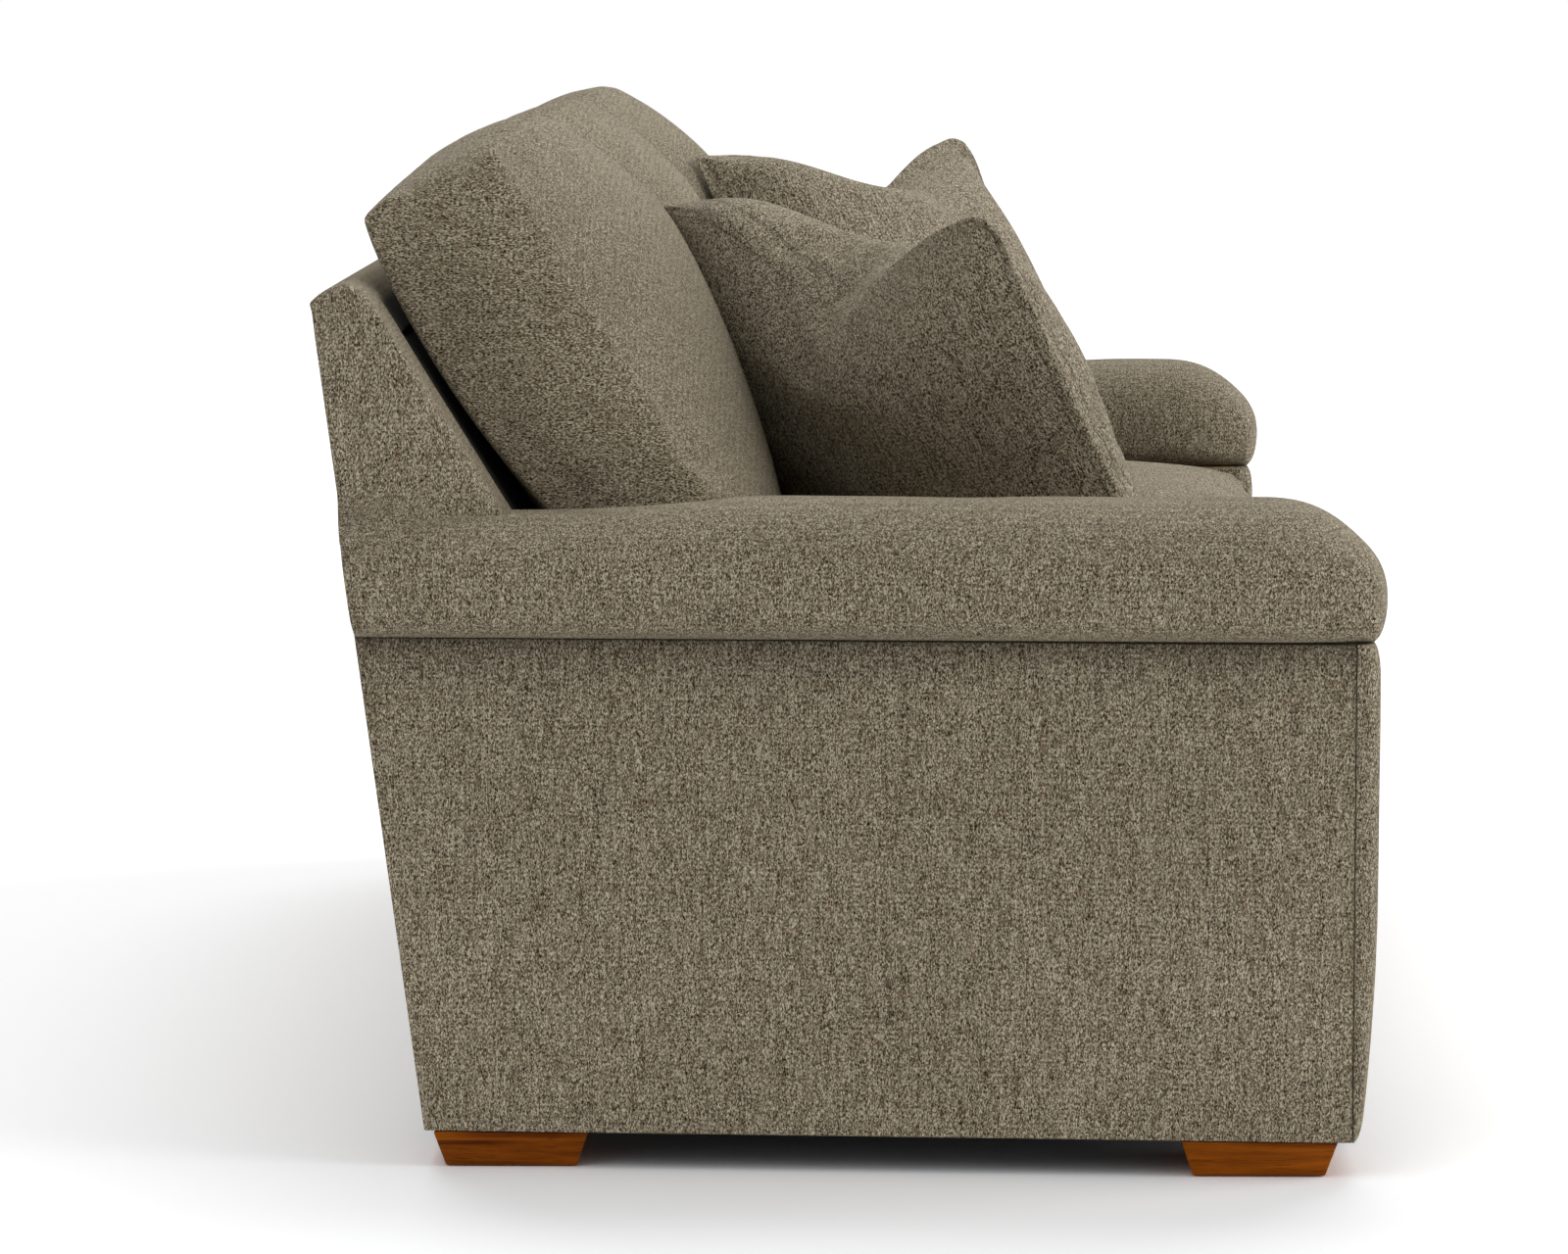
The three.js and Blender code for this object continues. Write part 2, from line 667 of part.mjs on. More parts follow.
function makeBackCushion(x) {
  const lean = degToRad(insideRakeDegrees);
  const rearTop = insideAt(backCushionTopHeight) - backCushionRearInset - backCushionTopCurl;
  return reshaped(shareBox(backSegments), (point) => {
    const { x: u, y: v, z: w } = point;
    const height = (w + 1) / 2;
    const depth = (v + 1) / 2;
    const across = (1 - u * u) ** crownPower;
    const rearZ = lerp(backCushionBase, backCushionTopHeight, height);
    const rearY = insideAt(rearZ) - backCushionRearInset - backCushionTopCurl * height ** 3;
    const frontY = lerp(backCushionFootY, rearTop - backCushionTopDepth, height);
    const frontZ = lerp(backCushionBase, backCushionTopHeight + backCushionTopRise, height);
    const front = backCushionCrown * across * frontSwell(height) * (1 - depth);
    const rise = backCushionTopCrown * across * Math.max(0, w) ** 2 * (1 - v * v * backRearTopShare);
    const rear = (backCushionRearInset - gap) * across * (1 - w * w) * Math.max(0, v);
    point.x = x + u * (cushionHalf - cushionDraw * (1 - w * w));
    point.y = lerp(frontY, rearY, depth) - front * Math.cos(lean) - rise * Math.sin(lean) / 2 + rear;
    point.z = lerp(frontZ, rearZ, depth) + front * Math.sin(lean) + rise * Math.cos(lean);
  });
}

for (let i = 0; i < cushionCount; i += 1) {
  const x = (i - (cushionCount - 1) / 2) * cushionPitch;
  addPiece(`seat_cushion_${i + 1}`, 'fabric', makeSeatCushion(x));
  addPiece(`back_cushion_${i + 1}`, 'fabric', makeBackCushion(x));
}

// Share of the chop at a place on a pillow: a V in the top seam that the rear face follows down,
// while the front face still swells above it.
function chopShare(u, v, w) {
  const start = w > 0 ? chopFrontShare : chopRearShare;
  const follow = Math.max(0, v - start) / (1 - start);
  return Math.max(0, 1 - Math.abs(u) / pillowChopShare) * follow * follow;
}

// Throw pillows: two faces that meet in a thin edge, drawn in between pointed corners
function makePillow(leanDegrees) {
  const lean = degToRad(leanDegrees);
  const turn = degToRad(pillowTurnDegrees);
  const along = new THREE.Vector3(Math.cos(turn), -Math.sin(turn), 0);
  const facing = new THREE.Vector3(-Math.sin(turn), -Math.cos(turn), 0);
  const rise = new THREE.Vector3(0, 0, Math.cos(lean)).addScaledVector(facing, -Math.sin(lean));
  const normal = new THREE.Vector3().crossVectors(along, rise);
  const pillow = reshaped(shareBox([pillowSegments, pillowSegments, 1]), (point) => {
    const { x: u, y: v, z: w } = point;
    const swell = ((1 - u * u) * (1 - v * v)) ** pillowPower;
    const chop = chopShare(u, v, w);
    point.x = u * (pillowWidth / 2 - pillowPinch * (1 - v * v));
    point.y = v * (pillowHeight / 2 - pillowPinch * (1 - u * u)) - pillowChop * chop;
    point.z = w * (pillowEdge + (pillowThickness - pillowEdge) * swell) / 2 - pillowChopSetback * chop;
  });
  const footX = seatHalfWidth - pillowFootFromArm;
  const footY = backCushionFootY - pillowFootFromBack;
  const outerMiddle = ((cushionCount - 1) / 2) * cushionPitch;
  const seat = seatTopAt((footX - outerMiddle) / cushionHalf, (footY - seatMiddleY) / seatHalfDepth);
  pillow.translate(-pillowWidth / 2, pillowHeight / 2, 0);
  pillow.applyMatrix4(new THREE.Matrix4().makeBasis(along, rise, normal));
  return pillow.translate(footX, footY, seat + gap + pillowEdge / 2 * Math.sin(lean));
}
addPiece('throw_pillow_right', 'fabric', makePillow(rightPillowLeanDegrees));
addPiece('throw_pillow_left', 'fabric', mirrored(makePillow(leftPillowLeanDegrees)));

export default sofa;
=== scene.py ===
"""A three-seat sofa with padded roll arms, in heathered chenille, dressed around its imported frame.

X runs along the seat, the front faces -Y and Z is up. Every size is in metres.
"""

from __future__ import annotations

import json
import logging
import math
from dataclasses import dataclass, field
from enum import Enum
from typing import Any, Callable, Mapping, Sequence

import bmesh
import bpy
import numpy as np
from mathutils import Matrix, Vector

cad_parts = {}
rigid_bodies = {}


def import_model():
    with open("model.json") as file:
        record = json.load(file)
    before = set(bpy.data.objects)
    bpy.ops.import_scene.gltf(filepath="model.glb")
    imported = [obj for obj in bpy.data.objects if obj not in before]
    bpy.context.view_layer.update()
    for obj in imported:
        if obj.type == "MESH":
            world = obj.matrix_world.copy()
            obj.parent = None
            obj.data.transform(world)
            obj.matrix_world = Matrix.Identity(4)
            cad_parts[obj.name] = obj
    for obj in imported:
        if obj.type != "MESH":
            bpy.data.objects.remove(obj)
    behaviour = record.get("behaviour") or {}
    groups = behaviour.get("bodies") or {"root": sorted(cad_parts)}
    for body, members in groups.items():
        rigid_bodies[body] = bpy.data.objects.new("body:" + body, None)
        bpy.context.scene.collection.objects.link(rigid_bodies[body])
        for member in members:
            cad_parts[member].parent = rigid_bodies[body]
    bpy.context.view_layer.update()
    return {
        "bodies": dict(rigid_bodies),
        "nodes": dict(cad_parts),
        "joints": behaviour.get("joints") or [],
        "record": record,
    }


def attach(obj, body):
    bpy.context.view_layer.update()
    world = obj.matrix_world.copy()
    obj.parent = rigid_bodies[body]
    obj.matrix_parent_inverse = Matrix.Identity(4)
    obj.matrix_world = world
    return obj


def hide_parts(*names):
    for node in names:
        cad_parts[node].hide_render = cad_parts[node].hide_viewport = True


LOG = logging.getLogger("sofa")
BODY = "root"
SEAM_LAYER = "seam"
# Vertex layer of painted shade: how much a surface's colour is darkened to stand in for shadow
SHADE_LAYER = "shade"
FAR_FROM_SEAM = 1.0
MERGE = 1e-5

Array = np.ndarray
Place = Callable[[Array], Array]
Colour = tuple[float, float, float]
Angles = tuple[float, float, float]

WHITE: Colour = (1.0, 1.0, 1.0)
BLACK: Colour = (0.0, 0.0, 0.0)


def lerp(low: Any, high: Any, share: Any) -> Any:
    """Returns the value at a share of the way from low to high."""
    return low + (high - low) * share


def smoothstep(value: Any, start: float, end: float) -> Any:
    """Returns 0 before start and 1 after end, with a smooth rise between."""
    share = np.clip((value - start) / (end - start), 0.0, 1.0)
    return share * share * (3 - 2 * share)


def display(red: int, green: int, blue: int) -> Colour:
    """Works out a colour in the linear values that a shader takes.

    Args:
        red: Red as it is displayed, from 0 to 255.
        green: Green, likewise.
        blue: Blue, likewise.

    Returns:
        The linear colour.
    """
    return tuple(
        (c / 255 / 12.92) if c <= 10 else ((c / 255 + 0.055) / 1.055) ** 2.4
        for c in (red, green, blue)
    )


def direction(azimuth: float, height: float) -> Vector:
    """Returns the unit vector towards a place in the room.

    Args:
        azimuth: Degrees from +X towards +Y, seen from above.
        height: Degrees above the floor.
    """
    turn, rise = math.radians(azimuth), math.radians(height)
    return Vector((math.cos(rise) * math.cos(turn), math.cos(rise) * math.sin(turn), math.sin(rise)))


def add_object(name: str, data: Any) -> bpy.types.Object:
    """Puts a mesh, lamp or camera in the scene.

    Args:
        name: Name of the object.
        data: What it holds.

    Returns:
        The object.
    """
    added = bpy.data.objects.new(name, data)
    bpy.context.scene.collection.objects.link(added)
    return added


# ---------------------------------------------------------------- sizes


@dataclass(frozen=True)
class SofaSizes:
    """The sizes that several sub-assemblies share, and the planes that follow from them."""

    half_depth: float = 0.499
    seat_half_width: float = 0.930
    arm_front_width: float = 0.188
    arm_toe: float = math.tan(math.radians(3.4))
    back_corner_height: float = 0.808
    back_rake: float = math.tan(math.radians(7.67))
    inside_rake: float = math.tan(math.radians(31.8))
    gap: float = 0.0003
    roll_nose: float = 0.015
    front_panel_setback: float = 0.010
    panel_thickness: float = 0.016
    back_panel_thickness: float = 0.006
    back_thickness: float = 0.053
    wing_crown_height: float = 0.818
    wing_lead: float = 0.0005
    back_tuck: float = 0.0125
    wrap_lip: float = 0.0012
    wrap_start: float = 0.0005
    wrap_end: float = 0.0045
    panel_base: float = 0.035
    seam_height: float = 0.500
    border_thickness: float = 0.0237
    border_top: float = 0.342
    seat_lip: float = 0.005
    seat_edge: float = 0.496
    deck_base: float = 0.3226
    deck_thickness: float = 0.020
    cushion_count: int = 3
    cushion_clearance: float = 0.003

    @property
    def roll_face_front(self) -> float:
        """Distance of the roll's front section from the middle of the depth."""
        return self.half_depth - self.roll_nose

    @property
    def side_panel_front(self) -> float:
        """Distance of the side panel's front edge from the middle of the depth."""
        return self.roll_face_front - self.front_panel_setback

    @property
    def rail_face(self) -> float:
        """Distance of the front rail's face from the middle of the depth."""
        return self.side_panel_front - self.panel_thickness

    @property
    def seat_front(self) -> float:
        """Distance of the seat cushions' front from the middle of the depth."""
        return self.rail_face + self.gap + self.border_thickness + self.seat_lip

    @property
    def deck_top(self) -> float:
        """Height of the deck that the seat cushions lie on."""
        return self.deck_base + self.deck_thickness

    @property
    def cushion_pitch(self) -> float:
        """Distance between the middles of two cushions."""
        return 2 * (self.seat_half_width - self.cushion_clearance) / self.cushion_count

    @property
    def cushion_half(self) -> float:
        """Half the width of a cushion."""
        return self.cushion_pitch / 2 - self.cushion_clearance / 2

    def cushion_middle(self, index: int) -> float:
        """Returns X of the middle of a cushion, counted from the left."""
        return (index - (self.cushion_count - 1) / 2) * self.cushion_pitch

    def outer_x(self, y: Any) -> Any:
        """Returns X of the outside arm face, which spreads towards the front."""
        widest = self.seat_half_width + self.arm_front_width
        return widest - self.arm_toe * (y + self.roll_face_front)

    def rear_at(self, z: Any) -> Any:
        """Returns Y of the outside back."""
        return self.half_depth - self.back_rake * (self.back_corner_height - z)

    def inner_rear_at(self, z: Any) -> Any:
        """Returns Y of the plane that lies against the outside back panel."""
        return self.rear_at(z) - self.back_panel_thickness - self.gap

    def rear_end_at(self, x: Array, z: Array, inset: float = 0.0) -> Array:
        """Works out Y of a side's rear end, which wraps round the edge of the outside back.

        Args:
            x: X of each place.
            z: Z of each place.
            inset: Distance of the side's outer face inside the arm's.

        Returns:
            Y of each place.
        """
        edge = self.outer_x(self.rear_at(z)) - inset - self.back_tuck
        lip = self.back_panel_thickness + self.gap - self.wrap_lip
        return self.inner_rear_at(z) + lip * smoothstep(x, edge + self.wrap_start, edge + self.wrap_end)

    def inside_at(self, z: Any) -> Any:
        """Returns Y of the inside back."""
        return self.half_depth - self.back_thickness - self.inside_rake * (self.wing_crown_height - z)

    def wing_at(self, z: Any) -> Any:
        """Returns Y of a wing's front edge."""
        return self.inside_at(z) - self.wing_lead


class Side(Enum):
    """The two ends of the sofa, with the sign of their X."""

    LEFT = -1
    RIGHT = 1

    @property
    def word(self) -> str:
        """The side's word in the names of its pieces."""
        return self.name.lower()


class Slot(Enum):
    """Material slots of the record."""

    UPHOLSTERY = "upholstery"
    FOOT_WOOD = "foot_wood"
    HARDWOOD = "hardwood"
    STEEL = "steel"
    FELT = "felt"
    LINER = "liner"
    GLIDE = "glide"


# ---------------------------------------------------------------- shader maths


class Value:
    """A number socket of a shader, with the operators that its sums need."""

    def __init__(self, shader: "Shader", socket: Any) -> None:
        """Wraps a socket.

        Args:
            shader: The shader that new nodes go into.
            socket: The output socket that holds the number.
        """
        self.shader = shader
        self.socket = socket

    def _sum(self, operation: str, first: Any, second: Any) -> "Value":
        """Returns the value of one Math node."""
        return self.shader.node("ShaderNodeMath", {"operation": operation}, {0: first, 1: second}).out()

    def __add__(self, other: Any) -> "Value":
        """Returns self plus other."""
        return self._sum("ADD", self, other)

    def __radd__(self, other: Any) -> "Value":
        """Returns other plus self."""
        return self._sum("ADD", other, self)

    def __sub__(self, other: Any) -> "Value":
        """Returns self less other."""
        return self._sum("SUBTRACT", self, other)

    def __rsub__(self, other: Any) -> "Value":
        """Returns other less self."""
        return self._sum("SUBTRACT", other, self)

    def __mul__(self, other: Any) -> "Value":
        """Returns self times other."""
        return self._sum("MULTIPLY", self, other)

    def __rmul__(self, other: Any) -> "Value":
        """Returns other times self."""
        return self._sum("MULTIPLY", other, self)

    def __abs__(self) -> "Value":
        """Returns the size of self without its sign."""
        return self._sum("ABSOLUTE", self, 0.0)

    def ramp(self, start: float, end: float, low: float = 0.0, high: float = 1.0) -> "Value":
        """Maps the value smoothly from one range to another.

        Args:
            start: Input that gives low.
            end: Input that gives high.
            low: Output at start.
            high: Output at end.

        Returns:
            The mapped value, held at low and high outside the range.
        """
        settings = {"interpolation_type": "SMOOTHSTEP", "clamp": True}
        sockets = {"Value": self, "From Min": start, "From Max": end, "To Min": low, "To Max": high}
        return self.shader.node("ShaderNodeMapRange", settings, sockets).out("Result")


class Made:
    """A node that has been made, with its outputs at hand."""

    def __init__(self, shader: "Shader", node: bpy.types.Node) -> None:
        """Wraps a node.

        Args:
            shader: The shader that holds the node.
            node: The node.
        """
        self.shader = shader
        self.node = node

    def out(self, name: str | int = 0) -> Value:
        """Returns an output of the node."""
        return Value(self.shader, self.node.outputs[name])


class Shader:
    """The node tree of one material, or of the world."""

    def __init__(self, owner: bpy.types.Material | bpy.types.World) -> None:
        """Starts an empty tree.

        Args:
            owner: The new material or world that the tree belongs to.
        """
        self.owner = owner
        owner.use_nodes = True
        self.tree = owner.node_tree
        self.tree.nodes.clear()

    @classmethod
    def of_material(cls, name: str) -> "Shader":
        """Returns the tree of a new material."""
        return cls(bpy.data.materials.new(name))

    def node(
        self,
        kind: str,
        settings: Mapping[str, Any] | None = None,
        sockets: Mapping[str | int, Any] | None = None,
    ) -> Made:
        """Makes a node.

        Args:
            kind: Type of the node.
            settings: Its properties, set first. The stops of a ramp are pairs of place and colour.
            sockets: Values or links of its inputs, by name or number.

        Returns:
            The node.
        """
        node = self.tree.nodes.new(kind)
        for key, setting in (settings or {}).items():
            if key == "stops":
                self._set_stops(node.color_ramp, setting)
            else:
                setattr(node, key, setting)
        for key, value in (sockets or {}).items():
            target = node.inputs[key]
            if isinstance(value, Value):
                self.tree.links.new(value.socket, target)
            elif isinstance(value, tuple) and len(value) == 3 and target.type == "RGBA":
                target.default_value = (*value, 1.0)
            else:
                target.default_value = value
        return Made(self, node)

    @staticmethod
    def _set_stops(ramp: bpy.types.ColorRamp, stops: Sequence[tuple[float, Colour]]) -> None:
        """Gives a colour ramp its stops.

        Args:
            ramp: The ramp.
            stops: Pairs of place and colour, from the lowest.
        """
        while len(ramp.elements) < len(stops):
            ramp.elements.new(1.0)
        for element, (place, colour) in zip(ramp.elements, stops):
            element.position = place
            element.color = (*colour, 1.0)

    def place(self, turn: Angles = (0.0, 0.0, 0.0), scale: Sequence[float] = (1.0, 1.0, 1.0)) -> Value:
        """Makes the object's own coordinates, turned and then scaled.

        Args:
            turn: Angles about X, Y and Z.
            scale: Factors along the turned axes.

        Returns:
            The coordinates.
        """
        coords = self.node("ShaderNodeTexCoord").out("Object")
        sockets = {"Vector": coords, "Rotation": tuple(turn)}
        turned = self.node("ShaderNodeMapping", {"vector_type": "POINT"}, sockets).out()
        factors = {0: turned, 1: tuple(scale)}
        return self.node("ShaderNodeVectorMath", {"operation": "MULTIPLY"}, factors).out()

    def noise(self, place: Value, scale: float, detail: float = 2.0, distortion: float = 0.0) -> Value:
        """Makes a noise, between about 0.2 and 0.8.

        Args:
            place: Coordinates.
            scale: Waves in a metre.
            detail: Finer layers on top of the first.
            distortion: How far the waves curl.

        Returns:
            The noise.
        """
        sockets = {
            "Vector": place, "Scale": scale, "Detail": detail, "Roughness": 0.6, "Distortion": distortion,
        }
        return self.node("ShaderNodeTexNoise", {}, sockets).out("Fac")

    def mix(self, share: Any, low: Any, high: Any) -> Value:
        """Returns a mix of two colours.

        Args:
            share: Weight of the second colour.
            low: First colour, or a link to one.
            high: Second colour, or a link to one.
        """
        return self.node("ShaderNodeMix", {"data_type": "RGBA"}, {0: share, 6: low, 7: high}).out(2)

    def scaled(self, colour: Value, factor: Value) -> Value:
        """Returns a colour times a number."""
        return self.node("ShaderNodeVectorMath", {"operation": "SCALE"}, {0: colour, "Scale": factor}).out()

    def attribute(self, name: str) -> Value:
        """Returns a number that the mesh holds at each vertex."""
        return self.node("ShaderNodeAttribute", {"attribute_name": name}).out("Fac")

    def ramp(self, value: Value, *stops: tuple[float, Colour]) -> Value:
        """Returns the colour of a ramp at a value, between stops of a place and a colour."""
        return self.node("ShaderNodeValToRGB", {"stops": stops}, {"Fac": value}).out("Color")

    def bump(self, height: Value, distance: float, strength: float) -> Value:
        """Returns the normal of a surface with a relief.

        Args:
            height: Height of the relief, from 0 to 1.
            distance: Real height of the relief at 1, in metres.
            strength: Share of the relief that shows.
        """
        sockets = {"Height": height, "Distance": distance, "Strength": strength}
        return self.node("ShaderNodeBump", {}, sockets).out()

    def surface(self, **sockets: Any) -> bpy.types.Material:
        """Closes the tree with a Principled BSDF.

        Args:
            sockets: Its inputs, with spaces in their names written as underscores.

        Returns:
            The finished material.
        """
        named = {key.replace("_", " "): value for key, value in sockets.items()}
        principled = self.node("ShaderNodeBsdfPrincipled", {}, named)
        self.node("ShaderNodeOutputMaterial", {}, {"Surface": principled.out()})
        return self.owner


# ---------------------------------------------------------------- finishes


class Grain(Enum):
    """Which way the pile of the chenille runs, as angles that turn it onto Z."""

    UPRIGHT = (0.0, 0.0, 0.0)
    FORWARD = (math.pi / 2, 0.0, 0.0)
    SIDEWAYS = (0.0, math.pi / 2, 0.0)


@dataclass(frozen=True)
class Chenille:
    """Heathered chenille: short tufts in rows with dark gaps, pale flecks and a tint that drifts."""

    name: str
    turn: Angles = Grain.UPRIGHT.value
    gap_colour: Colour = display(33, 24, 11)
    pile_colour: Colour = display(129, 118, 96)
    fleck_colour: Colour = display(204, 195, 172)
    rust_colour: Colour = display(108, 76, 52)
    pile_scale: float = 860.0
    pile_stretch: float = 0.48
    pile_curl: float = 0.8
    clump_scale: float = 860.0 * 0.22
    clump_depth: float = 0.10
    row_scale: float = 64.0
    row_curl: float = 2.2
    row_depth: float = 0.025
    thread_scale: float = 300.0
    thread_stretch: float = 0.08
    thread_depth: float = 0.16
    rust_share: float = 0.55
    drift_scale: float = 4.0
    drift: float = 0.05
    relief: float = 0.0022
    relief_share: float = 0.8
    spread: float = 0.16
    crease_width: float = 0.0022
    # share of the colour taken away as painted shade in a seam's crease
    crease_dark: float = 0.35
    crease_depth: float = 0.6
    stitch_line: float = 0.0085
    stitch_width: float = 0.0010
    stitch_dark: float = 0.28
    stitch_depth: float = 0.5
    roughness: float = 0.92
    specular: float = 0.15
    sheen: float = 0.12
    sheen_roughness: float = 0.45
    sheen_colour: Colour = display(214, 208, 190)

    def material(self) -> bpy.types.Material:
        """Makes the chenille as a material.

        Returns:
            The material.
        """
        shader = Shader.of_material(self.name)
        along = shader.place(self.turn)
        place = shader.place(self.turn, (1.0, 1.0, self.pile_stretch))
        pile = shader.noise(place, self.pile_scale, 1.0, self.pile_curl)
        clumps = shader.noise(place, self.clump_scale)
        rows = shader.node(
            "ShaderNodeTexWave", {"wave_type": "BANDS", "bands_direction": "Z"},
            {"Vector": along, "Scale": self.row_scale, "Distortion": self.row_curl, "Detail": 1.0,
             "Detail Scale": 2.0},
        ).out("Fac")
        stretched = shader.place(self.turn, (1.0, 1.0, self.thread_stretch))
        threads = shader.noise(stretched, self.thread_scale, 1.0)
        tint = shader.noise(place, self.pile_scale * 0.5, 1.0)
        broad = shader.noise(shader.place(), self.drift_scale)

        tone = pile
        for layer, depth in (
            (clumps, self.clump_depth), (threads, self.thread_depth), (rows, self.row_depth),
        ):
            tone = tone + (layer - 0.5) * depth
        colour = shader.ramp(
            tone,
            (0.5 - self.spread, self.gap_colour),
            (0.5, self.pile_colour),
            (0.5 + self.spread, self.fleck_colour),
        )
        rust = tint.ramp(0.50, 0.62) * (1 - tone.ramp(0.46, 0.60)) * self.rust_share
        colour = shader.mix(rust, colour, self.rust_colour)
        colour = shader.scaled(colour, broad.ramp(0.3, 0.7, 1 - self.drift, 1 + self.drift))

        seam = shader.attribute(SEAM_LAYER)
        # Painted shade in the crease along each seam: the colour darkens there, and the bump below also
        # sinks it.
        crease = 1 - seam.ramp(0.0002, self.crease_width)
        from_line = abs(seam - self.stitch_line)
        stitches = 1 - from_line.ramp(self.stitch_width * 0.4, self.stitch_width * 1.6)
        # Painted shade stored on the mesh, for shadow under the rolls, in the gaps and in the pillows'
        # hollows; below 0 it is painted light.
        painted_shade = shader.attribute(SHADE_LAYER)
        shade = (1 - crease * self.crease_dark - stitches * self.stitch_dark) * (1 - painted_shade)
        height = tone - stitches * self.stitch_depth - crease * self.crease_depth
        return shader.surface(
            Base_Color=shader.scaled(colour, shade),
            Roughness=self.roughness,
            Normal=shader.bump(height, self.relief, self.relief_share),
            Specular_IOR_Level=self.specular,
            Sheen_Weight=self.sheen,
            Sheen_Roughness=self.sheen_roughness,
            Sheen_Tint=self.sheen_colour,
        )


def lerp_colour(low: Colour, high: Colour, share: float) -> Colour:
    """Returns the colour at a share of the way from low to high."""
    return tuple(lerp(a, b, share) for a, b in zip(low, high))


@dataclass(frozen=True)
class Wood:
    """Wood with its grain along one axis."""

    name: str
    dark: Colour
    light: Colour
    turn: Angles
    streaks: float
    roughness: float
    specular: float = 0.5
    streak_stretch: float = 0.07
    cloud_scale: float = 14.0
    cloud_stretch: float = 0.3
    relief: float = 0.0004

    def material(self) -> bpy.types.Material:
        """Makes the wood as a material.

        Returns:
            The material.
        """
        shader = Shader.of_material(self.name)
        place = shader.place(self.turn, (1.0, 1.0, self.streak_stretch))
        streaks = shader.noise(place, self.streaks, 4.0, 0.6)
        pores = shader.noise(place, self.streaks * 9)
        cloud = shader.noise(shader.place(self.turn, (1.0, 1.0, self.cloud_stretch)), self.cloud_scale)
        tone = streaks * 0.6 + cloud * 0.4
        middle = lerp_colour(self.dark, self.light, 0.5)
        colour = shader.ramp(tone, (0.36, self.dark), (0.5, middle), (0.66, self.light))
        pore = 1 - pores.ramp(0.3, 0.42)
        colour = shader.mix(pore * 0.5, colour, lerp_colour(BLACK, self.dark, 0.5))
        return shader.surface(
            Base_Color=colour,
            Roughness=streaks.ramp(0.3, 0.7, self.roughness + 0.08, self.roughness - 0.06),
            Normal=shader.bump(tone - pore * 0.5, self.relief, 0.5),
            Specular_IOR_Level=self.specular,
        )


@dataclass(frozen=True)
class SpringSteel:
    """Drawn steel wire with a thin coat of oil."""

    name: str = "spring_steel"

    def material(self) -> bpy.types.Material:
        """Makes the steel as a material.

        Returns:
            The material.
        """
        shader = Shader.of_material(self.name)
        stain = shader.noise(shader.place(), 60.0, 3.0)
        colour = shader.ramp(stain, (0.35, display(96, 97, 99)), (0.65, display(158, 160, 163)))
        return shader.surface(
            Base_Color=colour,
            Metallic=1.0,
            Roughness=stain.ramp(0.3, 0.7, 0.32, 0.5),
            Normal=shader.bump(stain, 0.0002, 0.4),
        )


@dataclass(frozen=True)
class PlainCloth:
    """A plain woven or pressed cloth, such as a dust cover or a felt deck."""

    name: str
    dark: Colour
    light: Colour
    threads: float
    stretch: float = 0.12
    relief: float = 0.0004

    def material(self) -> bpy.types.Material:
        """Makes the cloth as a material.

        Returns:
            The material.
        """
        shader = Shader.of_material(self.name)
        warp, weft = (
            shader.noise(shader.place(scale=scale), self.threads, 1.0)
            for scale in ((1.0, self.stretch, 1.0), (self.stretch, 1.0, 1.0))
        )
        cloud = shader.noise(shader.place(), 12.0)
        tone = warp * 0.4 + weft * 0.4 + cloud * 0.2
        return shader.surface(
            Base_Color=shader.ramp(tone, (0.4, self.dark), (0.6, self.light)),
            Roughness=0.93,
            Normal=shader.bump(tone, self.relief, 0.7),
            Specular_IOR_Level=0.2,
        )


@dataclass(frozen=True)
class Nylon:
    """Moulded nylon, a little scuffed."""

    name: str = "glide_nylon"

    def material(self) -> bpy.types.Material:
        """Makes the nylon as a material.

        Returns:
            The material.
        """
        shader = Shader.of_material(self.name)
        scuff = shader.noise(shader.place(), 300.0, 3.0)
        return shader.surface(
            Base_Color=shader.ramp(scuff, (0.4, display(34, 34, 35)), (0.7, display(58, 57, 56))),
            Roughness=scuff.ramp(0.3, 0.7, 0.38, 0.6),
            Normal=shader.bump(scuff, 0.0002, 0.5),
        )


# ---------------------------------------------------------------- meshes


@dataclass(frozen=True)
class Ripple:
    """Slow waves in a surface, the same on each run."""

    depth: float
    wavelength: float
    seed: int
    waves: int = 7

    def at(self, points: Array) -> Array:
        """Returns the height of the waves.

        Args:
            points: Places, one row each.

        Returns:
            One height for each place.
        """
        rng = np.random.default_rng(self.seed)
        total = np.zeros(len(points))
        for _ in range(self.waves):
            heading = rng.normal(size=3)
            heading /= np.linalg.norm(heading)
            length = self.wavelength * rng.uniform(0.7, 1.6)
            total += np.sin(points @ heading * (2 * math.pi / length) + rng.uniform(0, 2 * math.pi))
        return total * self.depth / math.sqrt(self.waves)


def share_box(segments: Sequence[int], crowd: Sequence[float] = (0.0, 0.0, 0.0)) -> bmesh.types.BMesh:
    """Makes a box with its corners at plus and minus 1, cut into a grid.

    Args:
        segments: Faces along X, Y and Z.
        crowd: How much the grid crowds towards its edges along each axis, from 0 to 1.

    Returns:
        The box.
    """
    mesh = bmesh.new()
    bmesh.ops.create_cube(mesh, size=2.0)
    for axis, count in enumerate(segments):
        if count > 1:
            edges = [e for e in mesh.edges if abs(e.verts[0].co[axis] - e.verts[1].co[axis]) > 0.5]
            bmesh.ops.subdivide_edges(mesh, edges=edges, cuts=count - 1, use_grid_fill=True)
    strength = np.array(crowd)

    def crowded(shares: Array) -> Array:
        """Moves grid lines towards the edges."""
        return lerp(shares, np.sin(shares * math.pi / 2), strength)

    reshape(mesh, crowded)
    return mesh


def coordinates(mesh: bmesh.types.BMesh) -> Array:
    """Returns the places of a mesh's vertices, one row each."""
    return np.array([vert.co[:] for vert in mesh.verts])


def reshape(mesh: bmesh.types.BMesh, place: Place) -> None:
    """Moves each vertex to the place that a formula gives it."""
    for vert, point in zip(mesh.verts, place(coordinates(mesh))):
        vert.co = point


